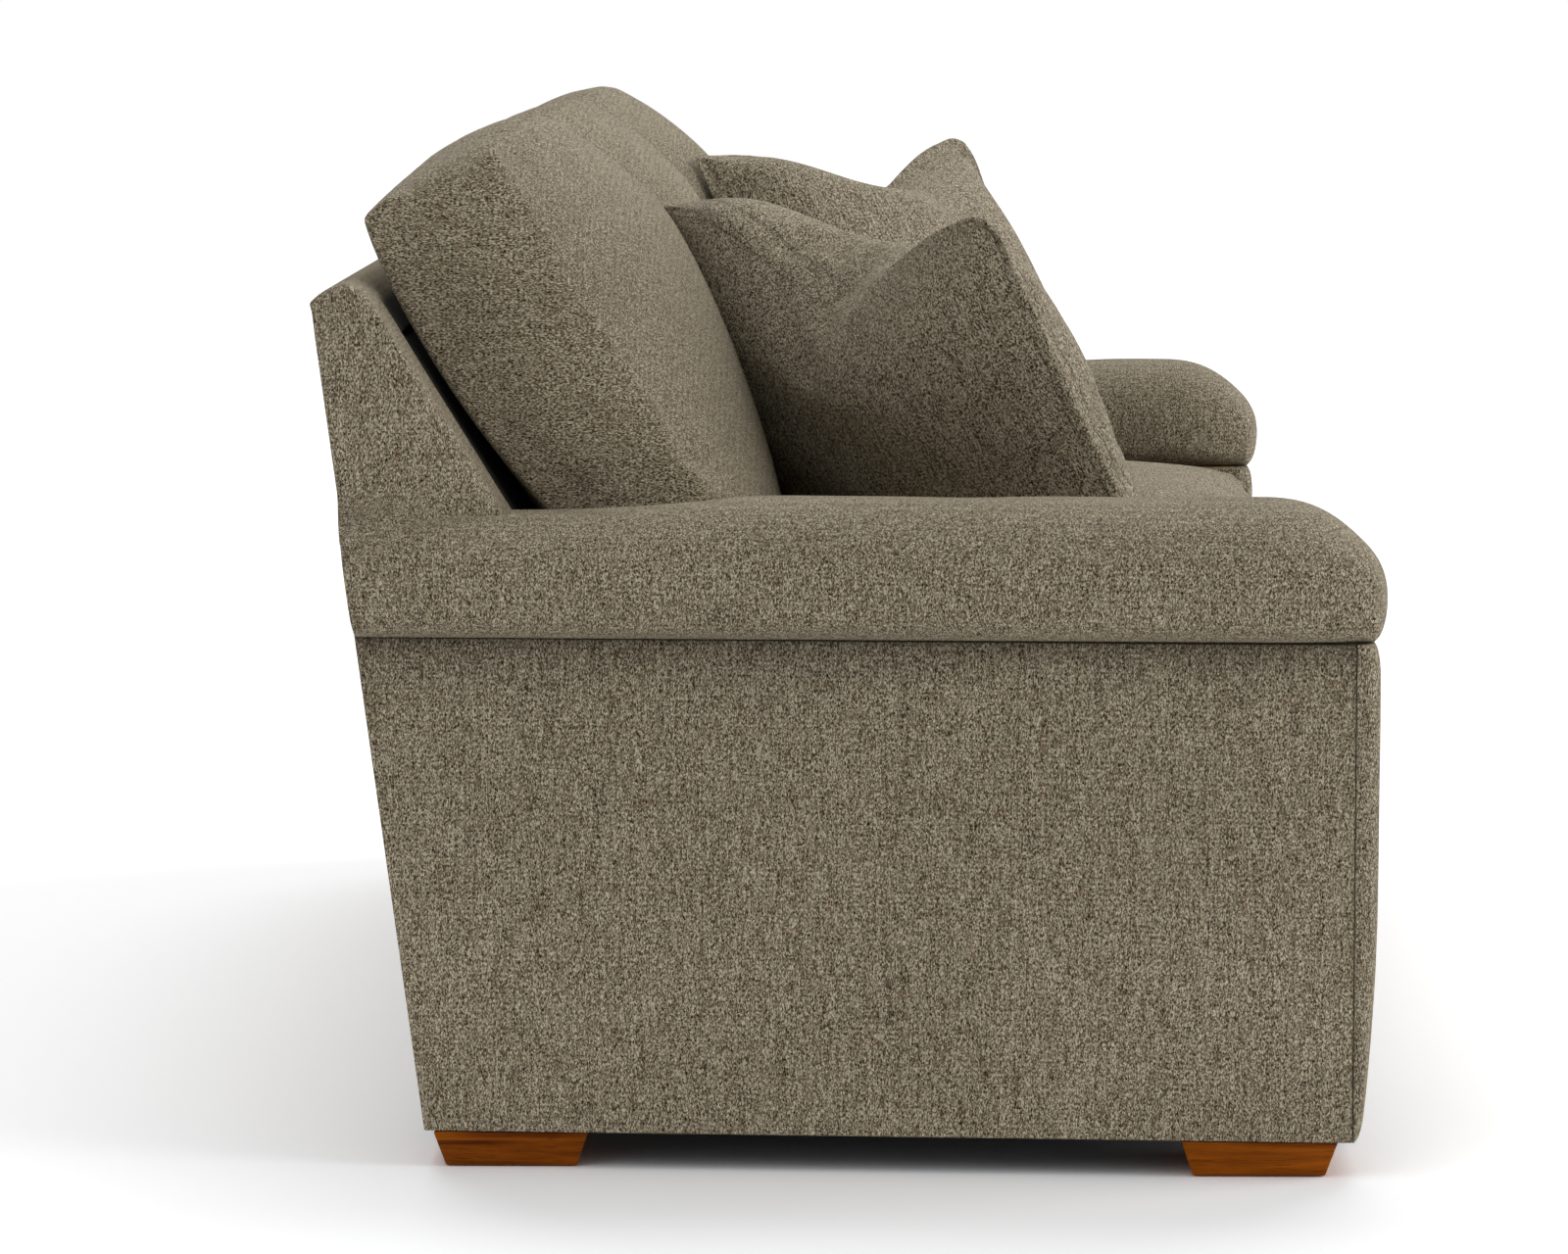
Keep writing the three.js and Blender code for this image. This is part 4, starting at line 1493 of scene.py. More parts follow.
@dataclass
class SeatBase:
    """What the seat cushions lie on: the front border, the deck and the dust cover below."""

    sizes: SofaSizes
    fabric: Chenille
    felt: PlainCloth
    liner: PlainCloth
    deck_rear: float = 0.2363
    cover_base: float = 0.0348
    cover_thickness: float = 0.0012
    cover_rear: float = 0.3894
    cover_slack: float = 0.004
    cover_ripple: Ripple = Ripple(0.0008, 0.12, 83)
    border_edge: float = 0.007
    border_inset: float = 0.0015
    border_ripple: Ripple = Ripple(0.0009, 0.22, 71)
    ripple_start: float = 0.05
    hem: float = 0.012
    hem_gap: float = 0.0005
    deck_edge: float = 0.004

    def build(self, shop: Workshop) -> None:
        """Builds the seat base.

        Args:
            shop: Makes the pieces.
        """
        shop.piece("front_border_cover", self.border(), self.fabric, Slot.UPHOLSTERY, ["front_border"])
        shop.piece("seat_deck_cloth", self.deck(), self.felt, Slot.FELT, ["seat_deck"])
        shop.piece("dust_cover_cloth", self.dust_cover(), self.liner, Slot.LINER, ["dust_cover"])

    def border(self) -> bmesh.types.BMesh:
        """Makes the upholstered front below the seat cushions.

        Returns:
            The border's mesh.
        """
        s = self.sizes
        mesh = share_box((150, 4, 40), (0.6, 0.0, 0.8))
        width = s.seat_half_width - s.gap
        half = (width, s.border_thickness / 2, (s.border_top - s.panel_base) / 2)

        def place(shares: Array) -> Array:
            """Places the border's grid.

            Args:
                shares: Places on the share box, from -1 to 1.

            Returns:
                The real places.
            """
            u, v, w = rounded(shares, half, self.border_edge).T
            x, z = u * width, lerp(s.panel_base, s.border_top, (w + 1) / 2)
            forward = (1 - v) / 2
            calm = smoothstep((1 - np.abs(w)) * half[2], 0.0, self.ripple_start)
            wave = self.border_ripple.at(np.column_stack([x, z * 0, z])) * calm
            y = -s.rail_face - s.gap - forward * (s.border_thickness - self.border_inset - wave)
            return np.column_stack([x, y, z])

        shares = coordinates(mesh)
        reshape(mesh, place)
        foot = (shares[:, 2] + 1) * half[2]
        hem = np.abs(foot - self.hem) + self.fabric.stitch_line - self.hem_gap
        mark_seams(mesh, np.where(shares[:, 1] > -1, FAR_FROM_SEAM, hem))
        return mesh

    def deck(self) -> bmesh.types.BMesh:
        """Makes the felt deck over the springs.

        Returns:
            The deck's mesh.
        """
        s = self.sizes
        mesh = share_box((60, 30, 2))
        width = s.seat_half_width - s.gap
        half = (width, (self.deck_rear + s.rail_face) / 2, s.deck_thickness / 2)

        def place(shares: Array) -> Array:
            """Places the deck's grid.

            Args:
                shares: Places on the share box, from -1 to 1.

            Returns:
                The real places.
            """
            u, v, w = rounded(shares, half, self.deck_edge).T
            y = lerp(-s.rail_face, self.deck_rear, (v + 1) / 2)
            return np.column_stack([u * width, y, lerp(s.deck_base, s.deck_top, (w + 1) / 2)])

        reshape(mesh, place)
        return mesh

    def dust_cover(self) -> bmesh.types.BMesh:
        """Makes the thin cloth stapled under the frame, a little slack between its rails.

        Returns:
            The cloth's mesh.
        """
        s = self.sizes
        mesh = share_box((90, 36, 1))

        def place(shares: Array) -> Array:
            """Places the cloth's grid.

            Args:
                shares: Places on the share box, from -1 to 1.

            Returns:
                The real places.
            """
            u, v, w = shares.T
            y = lerp(-s.rail_face, self.cover_rear, (v + 1) / 2)
            x = u * (s.outer_x(y) - s.panel_thickness - s.gap)
            slack = smoothstep(1 - np.abs(v), 0.0, 0.4) * smoothstep(1 - np.abs(u), 0.0, 0.12)
            wave = np.abs(self.cover_ripple.at(np.column_stack([x, y, x * 0]))) + self.cover_slack
            z = self.cover_base + (w + 1) / 2 * self.cover_thickness - wave * slack
            return np.column_stack([x, y, z])

        reshape(mesh, place)
        return mesh


@dataclass(frozen=True)
class Stuffing:
    """How the cover of a cushion swells between its seams when it is filled."""

    pressure: float = 4.0
    slack: float = 0.02
    reach: float = 0.016
    frames: int = 20
    quality: int = 5
    mass: float = 0.25
    stiffness: float = 12.0
    bending: float = 0.6


@dataclass
class StuffedPiece:
    """A cushion or pillow: how its grid is placed, where its seams are, and how it is filled."""

    node: str
    fabric: Chenille
    fill: float
    stuffing: Stuffing = Stuffing()
    seam_hold: float = 0.001
    piece: bpy.types.Object | None = None
    held: Array | None = None
    rest: Array | None = None

    @property
    def name(self) -> str:
        """The name of the filled piece."""
        return f"{self.node}_filled"

    def mesh(self) -> tuple[bmesh.types.BMesh, Array, Array]:
        """Returns the grid in place, each vertex's distance to a seam, and whether it is held."""
        raise NotImplementedError

    def build(self, shop: Workshop) -> None:
        """Builds the piece before it is filled.

        Args:
            shop: Makes the piece.
        """
        mesh, seam, held = self.mesh()
        mark_seams(mesh, seam)
        self.piece = shop.piece(self.name, mesh, self.fabric, Slot.UPHOLSTERY, [self.node])
        self.held = held

    def fill_cover(self) -> None:
        """Adds the cloth simulation that swells the cover."""
        data = self.piece.data
        self.rest = np.empty(len(data.vertices) * 3)
        data.vertices.foreach_get("co", self.rest)
        self.rest = self.rest.reshape(-1, 3)
        group = self.piece.vertex_groups.new(name="held")
        group.add([int(i) for i in np.flatnonzero(self.held)], 1.0, "REPLACE")
        cloth = self.piece.modifiers.new("cover", "CLOTH")
        settings = cloth.settings
        settings.quality = self.stuffing.quality
        settings.mass = self.stuffing.mass
        settings.tension_stiffness = settings.compression_stiffness = self.stuffing.stiffness
        settings.bending_stiffness = self.stuffing.bending
        settings.use_pressure = True
        settings.uniform_pressure_force = self.stuffing.pressure
        settings.shrink_min = -self.stuffing.slack
        settings.vertex_group_mass = group.name
        settings.effector_weights.gravity = 0.0
        cloth.collision_settings.use_collision = False
        cloth.point_cache.frame_start, cloth.point_cache.frame_end = 1, self.stuffing.frames

    def keep_cover(self) -> None:
        """Keeps the swollen cover as the piece's mesh, with each point's move capped."""
        graph = bpy.context.evaluated_depsgraph_get()
        swollen = self.piece.evaluated_get(graph).to_mesh()
        filled = np.empty(len(swollen.vertices) * 3)
        swollen.vertices.foreach_get("co", filled)
        move = filled.reshape(-1, 3) - self.rest
        length = np.maximum(np.linalg.norm(move, axis=1, keepdims=True), 1e-9)
        reach = self.stuffing.reach
        capped = move / length * reach * np.tanh(length / reach)
        self.piece.modifiers.remove(self.piece.modifiers["cover"])
        self.piece.vertex_groups.clear()
        self.piece.data.vertices.foreach_set("co", (self.rest + capped).ravel())
        self.piece.data.update()
        farthest = float(np.linalg.norm(capped, axis=1).max()) * 1000
        LOG.info("%s: filled, moved %.1f mm at most", self.name, farthest)

    def finish(self) -> None:
        """Smooths the piece with one subdivision."""
        surface = self.piece.modifiers.new("subdivision", "SUBSURF")
        surface.levels = surface.render_levels = 1


@dataclass
class BoxedCushion(StuffedPiece):
    """A cushion with two large faces and a boxed border between their seams."""

    sizes: SofaSizes = field(kw_only=True)
    index: int = field(kw_only=True)
    draw: float = 0.008
    draw_share: float = 0.6
    side_ease: float = 0.001
    groove: float = 0.0022
    seam_width: float = 0.004
    swell_allowance: float = 0.004
    swell_reach: float = 0.03

    def x_at(self, u: Array, along: Array) -> Array:
        """Returns X of places on the cushion, which is drawn in at the middle of its sides.

        Args:
            u: Share across, from -1 to 1.
            along: Share along its sides, from -1 to 1.
        """
        half = self.sizes.cushion_half - self.draw * (1 - along * along) * self.draw_share - self.side_ease
        return self.sizes.cushion_middle(self.index) + u * half

    @staticmethod
    def from_seams(shares: Array, half: Sequence[float], facing: int) -> Array:
        """Works out the distance of each vertex of a boxed cushion to the nearest seam.

        Args:
            shares: Places on the share box.
            half: Half the real size of the box along each axis.
            facing: The axis that its two large faces look along.

        Returns:
            One distance for each vertex.
        """
        to_edge = (1 - np.abs(shares)) * half
        sides = [axis for axis in range(3) if axis != facing]
        on_face = np.abs(shares[:, facing]) > 1 - 1e-6
        return np.where(on_face, to_edge[:, sides].min(axis=1), to_edge[:, facing])

    def draw_in(self, mesh: bmesh.types.BMesh, seam: Array, held: Array) -> None:
        """Draws a cushion in at its seams, and by what it swells between them.

        Args:
            mesh: The cushion's grid in place.
            seam: Distance of each vertex to a seam.
            held: Whether each vertex is held, and so doesn't swell.
        """
        depths = self.groove * np.exp(-((seam / self.seam_width) ** 2))
        depths = depths + self.swell_allowance * smoothstep(seam, 0.0, self.swell_reach) * ~held
        bmesh.ops.recalc_face_normals(mesh, faces=mesh.faces)
        points = coordinates(mesh) - normals_of(mesh) * depths[:, None]
        reshape(mesh, lambda _: points)


@dataclass
class SeatCushion(BoxedCushion):
    """A boxed seat cushion with a soft crown."""

    crown: float = 0.023
    nose: float = 0.009
    crown_power: float = 0.75
    depth: float = 0.667
    edge_round: float = 0.020
    wavelength: float = 0.26
    wave_depth: float = 0.0022

    def mesh(self) -> tuple[bmesh.types.BMesh, Array, Array]:
        """Makes the cushion's grid in place, with its seams and what is held.

        Returns:
            The grid, each vertex's distance to a seam, and whether it is held.
        """
        s = self.sizes
        middle_y = self.depth / 2 - s.seat_front
        base = s.deck_top + s.gap
        half = (s.cushion_half, self.depth / 2, (s.seat_edge - base) / 2)
        mesh = share_box((50, 54, 14), (0.6, 0.6, 0.55))
        shares = coordinates(mesh)
        ripple = Ripple(self.wave_depth, self.wavelength, 101 + self.index)

        def place(raw: Array) -> Array:
            """Places the cushion's grid.

            Args:
                raw: Places on the share box, from -1 to 1.

            Returns:
                The real places.
            """
            u, v, w = rounded(raw, half, self.edge_round).T
            across = (np.maximum(0, 1 - u * u) * np.maximum(0, 1 - v * v)) ** self.crown_power
            front = np.where(v < 0, self.nose * (1 - w * w) * (1 - u * u), 0.0)
            rear = np.where(v > 0, self.draw * (1 - u * u) * v, 0.0)
            x = self.x_at(u, v)
            y = middle_y + v * (half[1] - np.where(v < 0, self.nose, 0.0)) - front - rear
            z = lerp(base, s.seat_edge, (w + 1) / 2) + self.crown * across * np.maximum(0, w) ** 3
            wave = ripple.at(np.column_stack([x, y, z * 0])) * across * np.maximum(0, w)
            return np.column_stack([x, y, z + wave])

        reshape(mesh, place)
        seam = self.from_seams(shares, half, 2)
        held = (seam < self.seam_hold) | (shares[:, 2] < -0.5)
        self.draw_in(mesh, seam, held)
        return mesh, seam, held


@dataclass
class BackCushion(BoxedCushion):
    """A loose back cushion that leans on the inside back, fullest at three quarters of its height."""

    crown: float = field(kw_only=True)
    top_depth: float = field(kw_only=True)
    groove: float = 0.0014
    base: float = 0.5128
    rear_top: float = 0.883
    base_depth: float = 0.1745
    top_rise: float = 0.066
    rear_inset: float = 0.0075
    corner_curl: float = 0.0205
    heel: float = 0.032
    heel_rise: float = 0.1145
    heel_power: float = 4.84
    peak_share: float = 0.72
    fall_share: float = 0.6
    fall_power: float = 1.3
    foot_fullness: float = 0.07
    rear_top_share: float = 0.6
    top_crown: float = 0.027
    rear_fullness: float = 0.009
    fullness_at: float = 0.6
    fullness_width: float = 0.3
    crown_power: float = 1.0
    edge_round: float = 0.009
    rear_round: float = 0.004
    half_depth: float = 0.080
    half_height: float = 0.215
    wavelength: float = 0.24
    wave_depth: float = 0.0028

    def mesh(self) -> tuple[bmesh.types.BMesh, Array, Array]:
        """Makes the cushion's grid in place, with its seams and what is held.

        Returns:
            The grid, each vertex's distance to a seam, and whether it is held.
        """
        s = self.sizes
        lean = math.atan(s.inside_rake)
        rear_y = s.inside_at(self.rear_top) - self.rear_inset
        foot_y = s.inside_at(s.seat_edge) - self.rear_inset - self.base_depth
        half = (s.cushion_half, self.half_depth, self.half_height)
        mesh = share_box((52, 16, 44), (0.6, 0.5, 0.6))
        shares = coordinates(mesh)
        ripple = Ripple(self.wave_depth, self.wavelength, 201 + self.index)

        def place(raw: Array) -> Array:
            """Places the cushion's grid.

            Args:
                raw: Places on the share box, from -1 to 1.

            Returns:
                The real places.
            """
            radius = lerp(self.edge_round, self.rear_round, smoothstep(raw[:, 1:2], 0.0, 1.0))
            u, v, w = rounded(raw, half, radius).T
            height, depth = (w + 1) / 2, (v + 1) / 2
            across = np.maximum(0, 1 - u * u) ** self.crown_power
            over = np.maximum(0, height - self.peak_share) / (1 - self.peak_share)
            climb = (height + self.foot_fullness) / (self.peak_share + self.foot_fullness)
            swell = np.sin(np.clip(climb, 0.0, 1.0) * math.pi / 2)
            swell = swell * (1 - self.fall_share * over**self.fall_power)
            up = lerp(self.base, self.rear_top, height)
            heel = self.heel * np.tanh(self.heel_rise * (1 - height) ** self.heel_power / self.heel)
            rear = s.inside_at(up) - self.rear_inset
            rear = rear - heel * np.abs(u) ** 3 - self.corner_curl * height**6
            front = lerp(foot_y, rear_y - self.top_depth, height)
            rise = lerp(self.base, self.rear_top + self.top_rise, height)
            push = self.crown * across * swell * (1 - depth)
            fuller = self.rear_fullness * np.exp(-(((v - self.fullness_at) / self.fullness_width) ** 2))
            lift = self.top_crown * across * (1 - v * v * self.rear_top_share) + fuller
            lift = lift * np.maximum(0, w) ** 2
            press = (self.rear_inset - s.gap) * across * (1 - w * w) * np.maximum(0, v)
            x = self.x_at(u, w)
            y = lerp(front, rear, depth) - push * math.cos(lean) - lift * math.sin(lean) / 2 + press
            z = lerp(rise, up, depth) + push * math.sin(lean) + lift * math.cos(lean)
            wave = ripple.at(np.column_stack([x, y, z])) * across * (1 - depth)
            wave = wave * smoothstep(height, 0.0, 0.3)
            return np.column_stack([x, y - wave * math.cos(lean), z + wave * math.sin(lean)])

        reshape(mesh, place)
        seam = self.from_seams(shares, half, 1)
        held = (seam < self.seam_hold) | (shares[:, 2] < -0.98) | (shares[:, 1] > 0.6)
        self.draw_in(mesh, seam, held)
        return mesh, np.full(len(shares), FAR_FROM_SEAM), held


@dataclass(frozen=True)
class Swell:
    """How one face of a pillow rises from its seams: its depth, and how soon it gets there."""

    depth: float
    left: float
    right: float
    top: float
    foot: float
    flatness: float = 0.78

    def at(self, u: Array, v: Array, width: float, height: float, top: Any) -> Array:
        """Works out the height of the face above the seams' plane.

        Args:
            u: Share across, from -1 to 1.
            v: Share up, from -1 to 1.
            width: Width of the pillow.
            height: Height of the pillow.
            top: Distance over which it rises from the top seam.

        Returns:
            The heights.
        """
        rise = 1.0
        for distance, reach in (
            ((1 + u) * width / 2, self.left), ((1 - u) * width / 2, self.right),
            ((1 + v) * height / 2, self.foot), ((1 - v) * height / 2, top),
        ):
            rise = rise * (1 - np.exp(-np.maximum(distance, 0.0) / reach))
        dome = np.maximum(0, 1 - u * u) * np.maximum(0, 1 - v * v)
        return self.depth * rise * lerp(self.flatness, 1.0, dome)


@dataclass
class ThrowPillow(StuffedPiece):
    """A knife-edge pillow that stands in a corner of the seat, with a chop in its top edge."""

    sizes: SofaSizes = field(kw_only=True)
    side: Side = field(kw_only=True)
    lean: float = field(kw_only=True)
    height: float = field(kw_only=True)
    ear_lift: float = field(kw_only=True)
    ear_power: float = field(kw_only=True)
    side_sway: float = field(kw_only=True)
    width: float = 0.470
    front: Swell = Swell(0.102, left=0.020, right=0.030, top=0.026, foot=0.070)
    rear: Swell = Swell(0.098, left=0.024, right=0.075, top=0.050, foot=0.034)
    ear_reach: float = 0.075
    edge: float = 0.0025
    side_pinch: float = 0.007
    side_bulge: float = 0.012
    foot_pinch: float = 0.010
    ear_flare: float = 0.019
    corner_round: float = 0.18
    tip_round: float = 0.03
    tip_reach: float = 0.008
    turn: float = math.radians(42)
    foot_from_arm: float = 0.256
    foot_from_back: float = 0.570
    seat: float = 0.5115
    seat_top: float = 0.519
    chop: float = 0.098
    chop_setback: float = 0.018
    chop_at: float = -0.05
    chop_rear: float = 0.0
    chop_front: float = 0.40
    chop_reach: float = 0.74
    chop_soft: float = 0.002
    chop_soft_start: float = 0.0447
    ear_chop: float = 0.20
    # painted shade on the rear face towards its lower corner, and how quickly it fades
    hollow_shade: float = 0.62
    hollow_power: float = 1.4
    seam_offset: float = 0.0014
    unstitched: float = 0.03
    seat_give: float = 0.012
    wavelength: float = 0.16
    wave_depth: float = 0.0022

    def axes(self) -> Matrix:
        """Works out the pillow's own axes in the sofa, for the right side.

        Returns:
            The axes, one in each column.
        """
        along = Vector((math.cos(self.turn), -math.sin(self.turn), 0.0))
        facing = Vector((-math.sin(self.turn), -math.cos(self.turn), 0.0))
        rise = Vector((0.0, 0.0, math.cos(self.lean))) - facing * math.sin(self.lean)
        return Matrix((along, rise, along.cross(rise))).transposed()

    def grain(self) -> Angles:
        """Works out the angles that turn the pile, which runs up the pillow, onto Z.

        Returns:
            Angles about X, Y and Z.
        """
        rise = self.axes().col[1].copy()
        rise.x *= self.side.value
        return tuple(rise.rotation_difference(Vector((0.0, 0.0, 1.0))).to_euler("XYZ"))

    def corner_rounded(self, u: Array, v: Array) -> tuple[Array, Array]:
        """Works out the shares with the outline's corners rounded.

        Args:
            u: Share across, from -1 to 1.
            v: Share up, from -1 to 1.

        Returns:
            The new shares across and up.
        """
        shares = np.column_stack([u, v])
        tip = np.where((u < 0) & (v > 0), self.tip_round, self.corner_round)[:, None]
        core = np.clip(shares, tip - 1, 1 - tip)
        out = shares - core
        length = np.maximum(np.linalg.norm(out, axis=1, keepdims=True), 1e-9)
        return tuple((core + out * np.abs(out).max(axis=1, keepdims=True) / length).T)

    def chop_depth(self, u: Array) -> Array:
        """Works out how deep the chop is along the top edge, from 0 to 1.

        Args:
            u: Share across, from -1 to 1.

        Returns:
            The depths.
        """
        rear = np.clip((self.chop_at - u) / (1 + self.chop_at), 0.0, 1.0)
        front = np.clip((u - self.chop_at) / (1 - self.chop_at), 0.0, 1.0)
        soft = np.sqrt(front**2 + self.chop_soft) - self.chop_soft_start * (1 - front)
        towards_tip = 1 - smoothstep(rear, -0.02, self.chop_reach)
        return np.where(u < self.chop_at, towards_tip, np.maximum(0.0, 1 - soft**self.ear_power))

    def mesh(self) -> tuple[bmesh.types.BMesh, Array, Array]:
        """Makes the pillow's grid in place, with its seam and what is held.

        Returns:
            The grid, each vertex's distance to a seam, and whether it is held.
        """
        s = self.sizes
        foot_y = s.inside_at(s.seat_edge) - self.foot_from_back
        corner = Vector((s.seat_half_width - self.foot_from_arm, foot_y, self.seat))
        mesh = share_box((64, 64, 2), (0.8, 0.8, 0.0))
        shares = coordinates(mesh)
        ripple = Ripple(self.wave_depth, self.wavelength, 301 + self.side.value)

        def flat(raw: Array) -> Array:
            """Places the grid in the pillow's own axes.

            Args:
                raw: Places on the share box, from -1 to 1.

            Returns:
                The real places.
            """
            u, v, w = raw.T
            ear = smoothstep(u, -0.1, 0.38)
            reach = lerp(self.front.top, self.ear_reach, ear)
            front = self.front.at(u, v, self.width, self.height, reach)
            rear = self.rear.at(u, v, self.width, self.height, self.rear.top)
            body = np.where(w > 0, front, rear)
            start = np.where(w > 0, lerp(self.chop_front, self.ear_chop, ear), self.chop_rear)
            follow = np.clip((v - start) / (1 - start), 0.0, 1.0) ** 2
            dip = self.chop_depth(u) * follow
            a, b = self.corner_rounded(u, v)
            curve = np.where(u > 0, -self.side_pinch, self.side_bulge) * (1 - v * v)
            curve = curve + self.side_sway * np.sin(math.pi * v) * (u > 0)
            high = np.maximum(0, b) ** 4
            x = a * (self.width / 2 + curve + high * np.where(u > 0, self.ear_flare, self.tip_reach))
            pinch = np.where(v < 0, self.foot_pinch * (1 - u * u), 0.0)
            y = b * (self.height / 2 - pinch) - self.chop * dip
            y = y + self.ear_lift * smoothstep(u, 0.0, 0.7) * high
            z = w * (self.edge / 2 + body) - self.chop_setback * dip * (1 - smoothstep(u, 0.0, 0.6))
            wave = ripple.at(np.column_stack([x, y, w * 0.3])) * body / self.front.depth
            return np.column_stack([x - self.width / 2, y + self.height / 2, z + wave * w])

        reshape(mesh, flat)
        lift = Vector((0.0, 0.0, self.edge / 2 * math.sin(self.lean)))
        mesh.transform(Matrix.Translation(corner + lift) @ self.axes().to_4x4())
        for vert in mesh.verts:
            vert.co.z = self.rested(vert.co.z)
        to_side = (1 - np.abs(shares[:, 0])) * self.width / 2
        to_top = (1 - np.abs(shares[:, 1])) * self.height / 2
        held = np.minimum(to_side, to_top) < self.seam_hold / 2
        bare = self.unstitched * smoothstep(shares[:, 0], -0.15, 0.05) * (shares[:, 1] > 0)
        seam = np.minimum(to_side, to_top + bare)
        # Painted shade on the rear face, darkest at the lower corner below the tip, where the pillow leans
        # into the seat's corner.
        low_left = ((1 - shares[:, 0]) / 2 * (1 - shares[:, 1]) / 2) ** self.hollow_power
        mark_shade(mesh, np.where(shares[:, 2] < 0, self.hollow_shade * low_left, 0.0))
        mirrored(mesh, self.side)
        return mesh, seam + self.seam_offset, held

    def rested(self, z: float) -> float:
        """Works out a height pressed flat where it would sink into the seat.

        Args:
            z: Height before the pillow rests on the seat.

        Returns:
            The pressed height.
        """
        give = self.seat_give
        over = (z - self.seat_top) / give
        if over > 4:
            return z
        return self.seat_top + give * math.log1p(math.exp(over)) - give * 0.1 * math.exp(-abs(over))


# ---------------------------------------------------------------- feet and frame


@dataclass
class Feet:
    """Four tapered block feet."""

    sizes: SofaSizes
    wood: Wood
    height: float = 0.0345
    top_width: float = 0.145
    bottom_width: float = 0.123
    setback: float = 0.003
    rear_inset: float = 0.010
    glide_proud: float = 0.001
    edge: float = 0.0016

    def build(self, shop: Workshop) -> None:
        """Builds the feet.

        Args:
            shop: Makes the pieces.
        """
        s = self.sizes
        places = {
            "front": self.top_width / 2 - s.rail_face,
            "rear": s.rear_at(self.height) - self.rear_inset - self.top_width / 2,
        }
        for end, y in places.items():
            for side in Side:
                x = s.outer_x(y) - self.setback - self.top_width / 2
                mesh = mirrored(self.foot(x, y), side)
                name = f"foot_{end}_{side.word}"
                shop.piece(f"{name}_block", mesh, self.wood, Slot.FOOT_WOOD, [name])

    def foot(self, x: float, y: float) -> bmesh.types.BMesh:
        """Makes a foot with eased edges.

        Args:
            x: X of its middle.
            y: Y of its middle.

        Returns:
            The foot's mesh.
        """
        mesh = bmesh.new()
        bmesh.ops.create_cube(mesh, size=1.0)
        tall = self.height - self.glide_proud
        for vert in mesh.verts:
            width = self.bottom_width if vert.co.z < 0 else self.top_width
            vert.co = (vert.co.x * width, vert.co.y * width, (vert.co.z + 0.5) * tall + self.glide_proud)
        ease_edges(mesh, list(mesh.edges), self.edge)
        bmesh.ops.translate(mesh, vec=(x, y, 0.0), verts=mesh.verts)
        return mesh


@dataclass
class InnerFrame:
    """The hardwood frame, springs, bolts and glides, which keep their CAD shapes."""

    hardwood: Wood
    steel: SpringSteel
    nylon: Nylon

    def build(self, shop: Workshop) -> None:
        """Dresses the frame's nodes.

        Args:
            shop: Holds the nodes.
        """
        starts = (
            "corner_block", "side_rail", "arm_front_post", "arm_rear_post", "arm_top_board", "back_post",
        )
        wooden = (name for name in shop.nodes if name.startswith(starts) or name.endswith("_rail"))
        shop.dress(self.hardwood, *wooden)
        shop.dress(self.steel, *(name for name in shop.nodes if "spring" in name or "bolt" in name))
        shop.dress(self.nylon, *(name for name in shop.nodes if "glide" in name))


# ---------------------------------------------------------------- room


@dataclass(frozen=True)
class SoftSun:
    """A broad, soft lamp far away."""

    name: str
    azimuth: float
    height: float
    strength: float
    spread: float
    distance: float = 6.0

    def build(self) -> None:
        """Adds the lamp, which stands at its azimuth and height and shines at the sofa."""
        lamp = bpy.data.lights.new(self.name, "SUN")
        lamp.energy = self.strength
        lamp.angle = math.radians(self.spread)
        holder = add_object(self.name, lamp)
        towards = direction(self.azimuth, self.height)
        holder.rotation_euler = towards.to_track_quat("Z", "Y").to_euler()
        holder.location = towards * self.distance


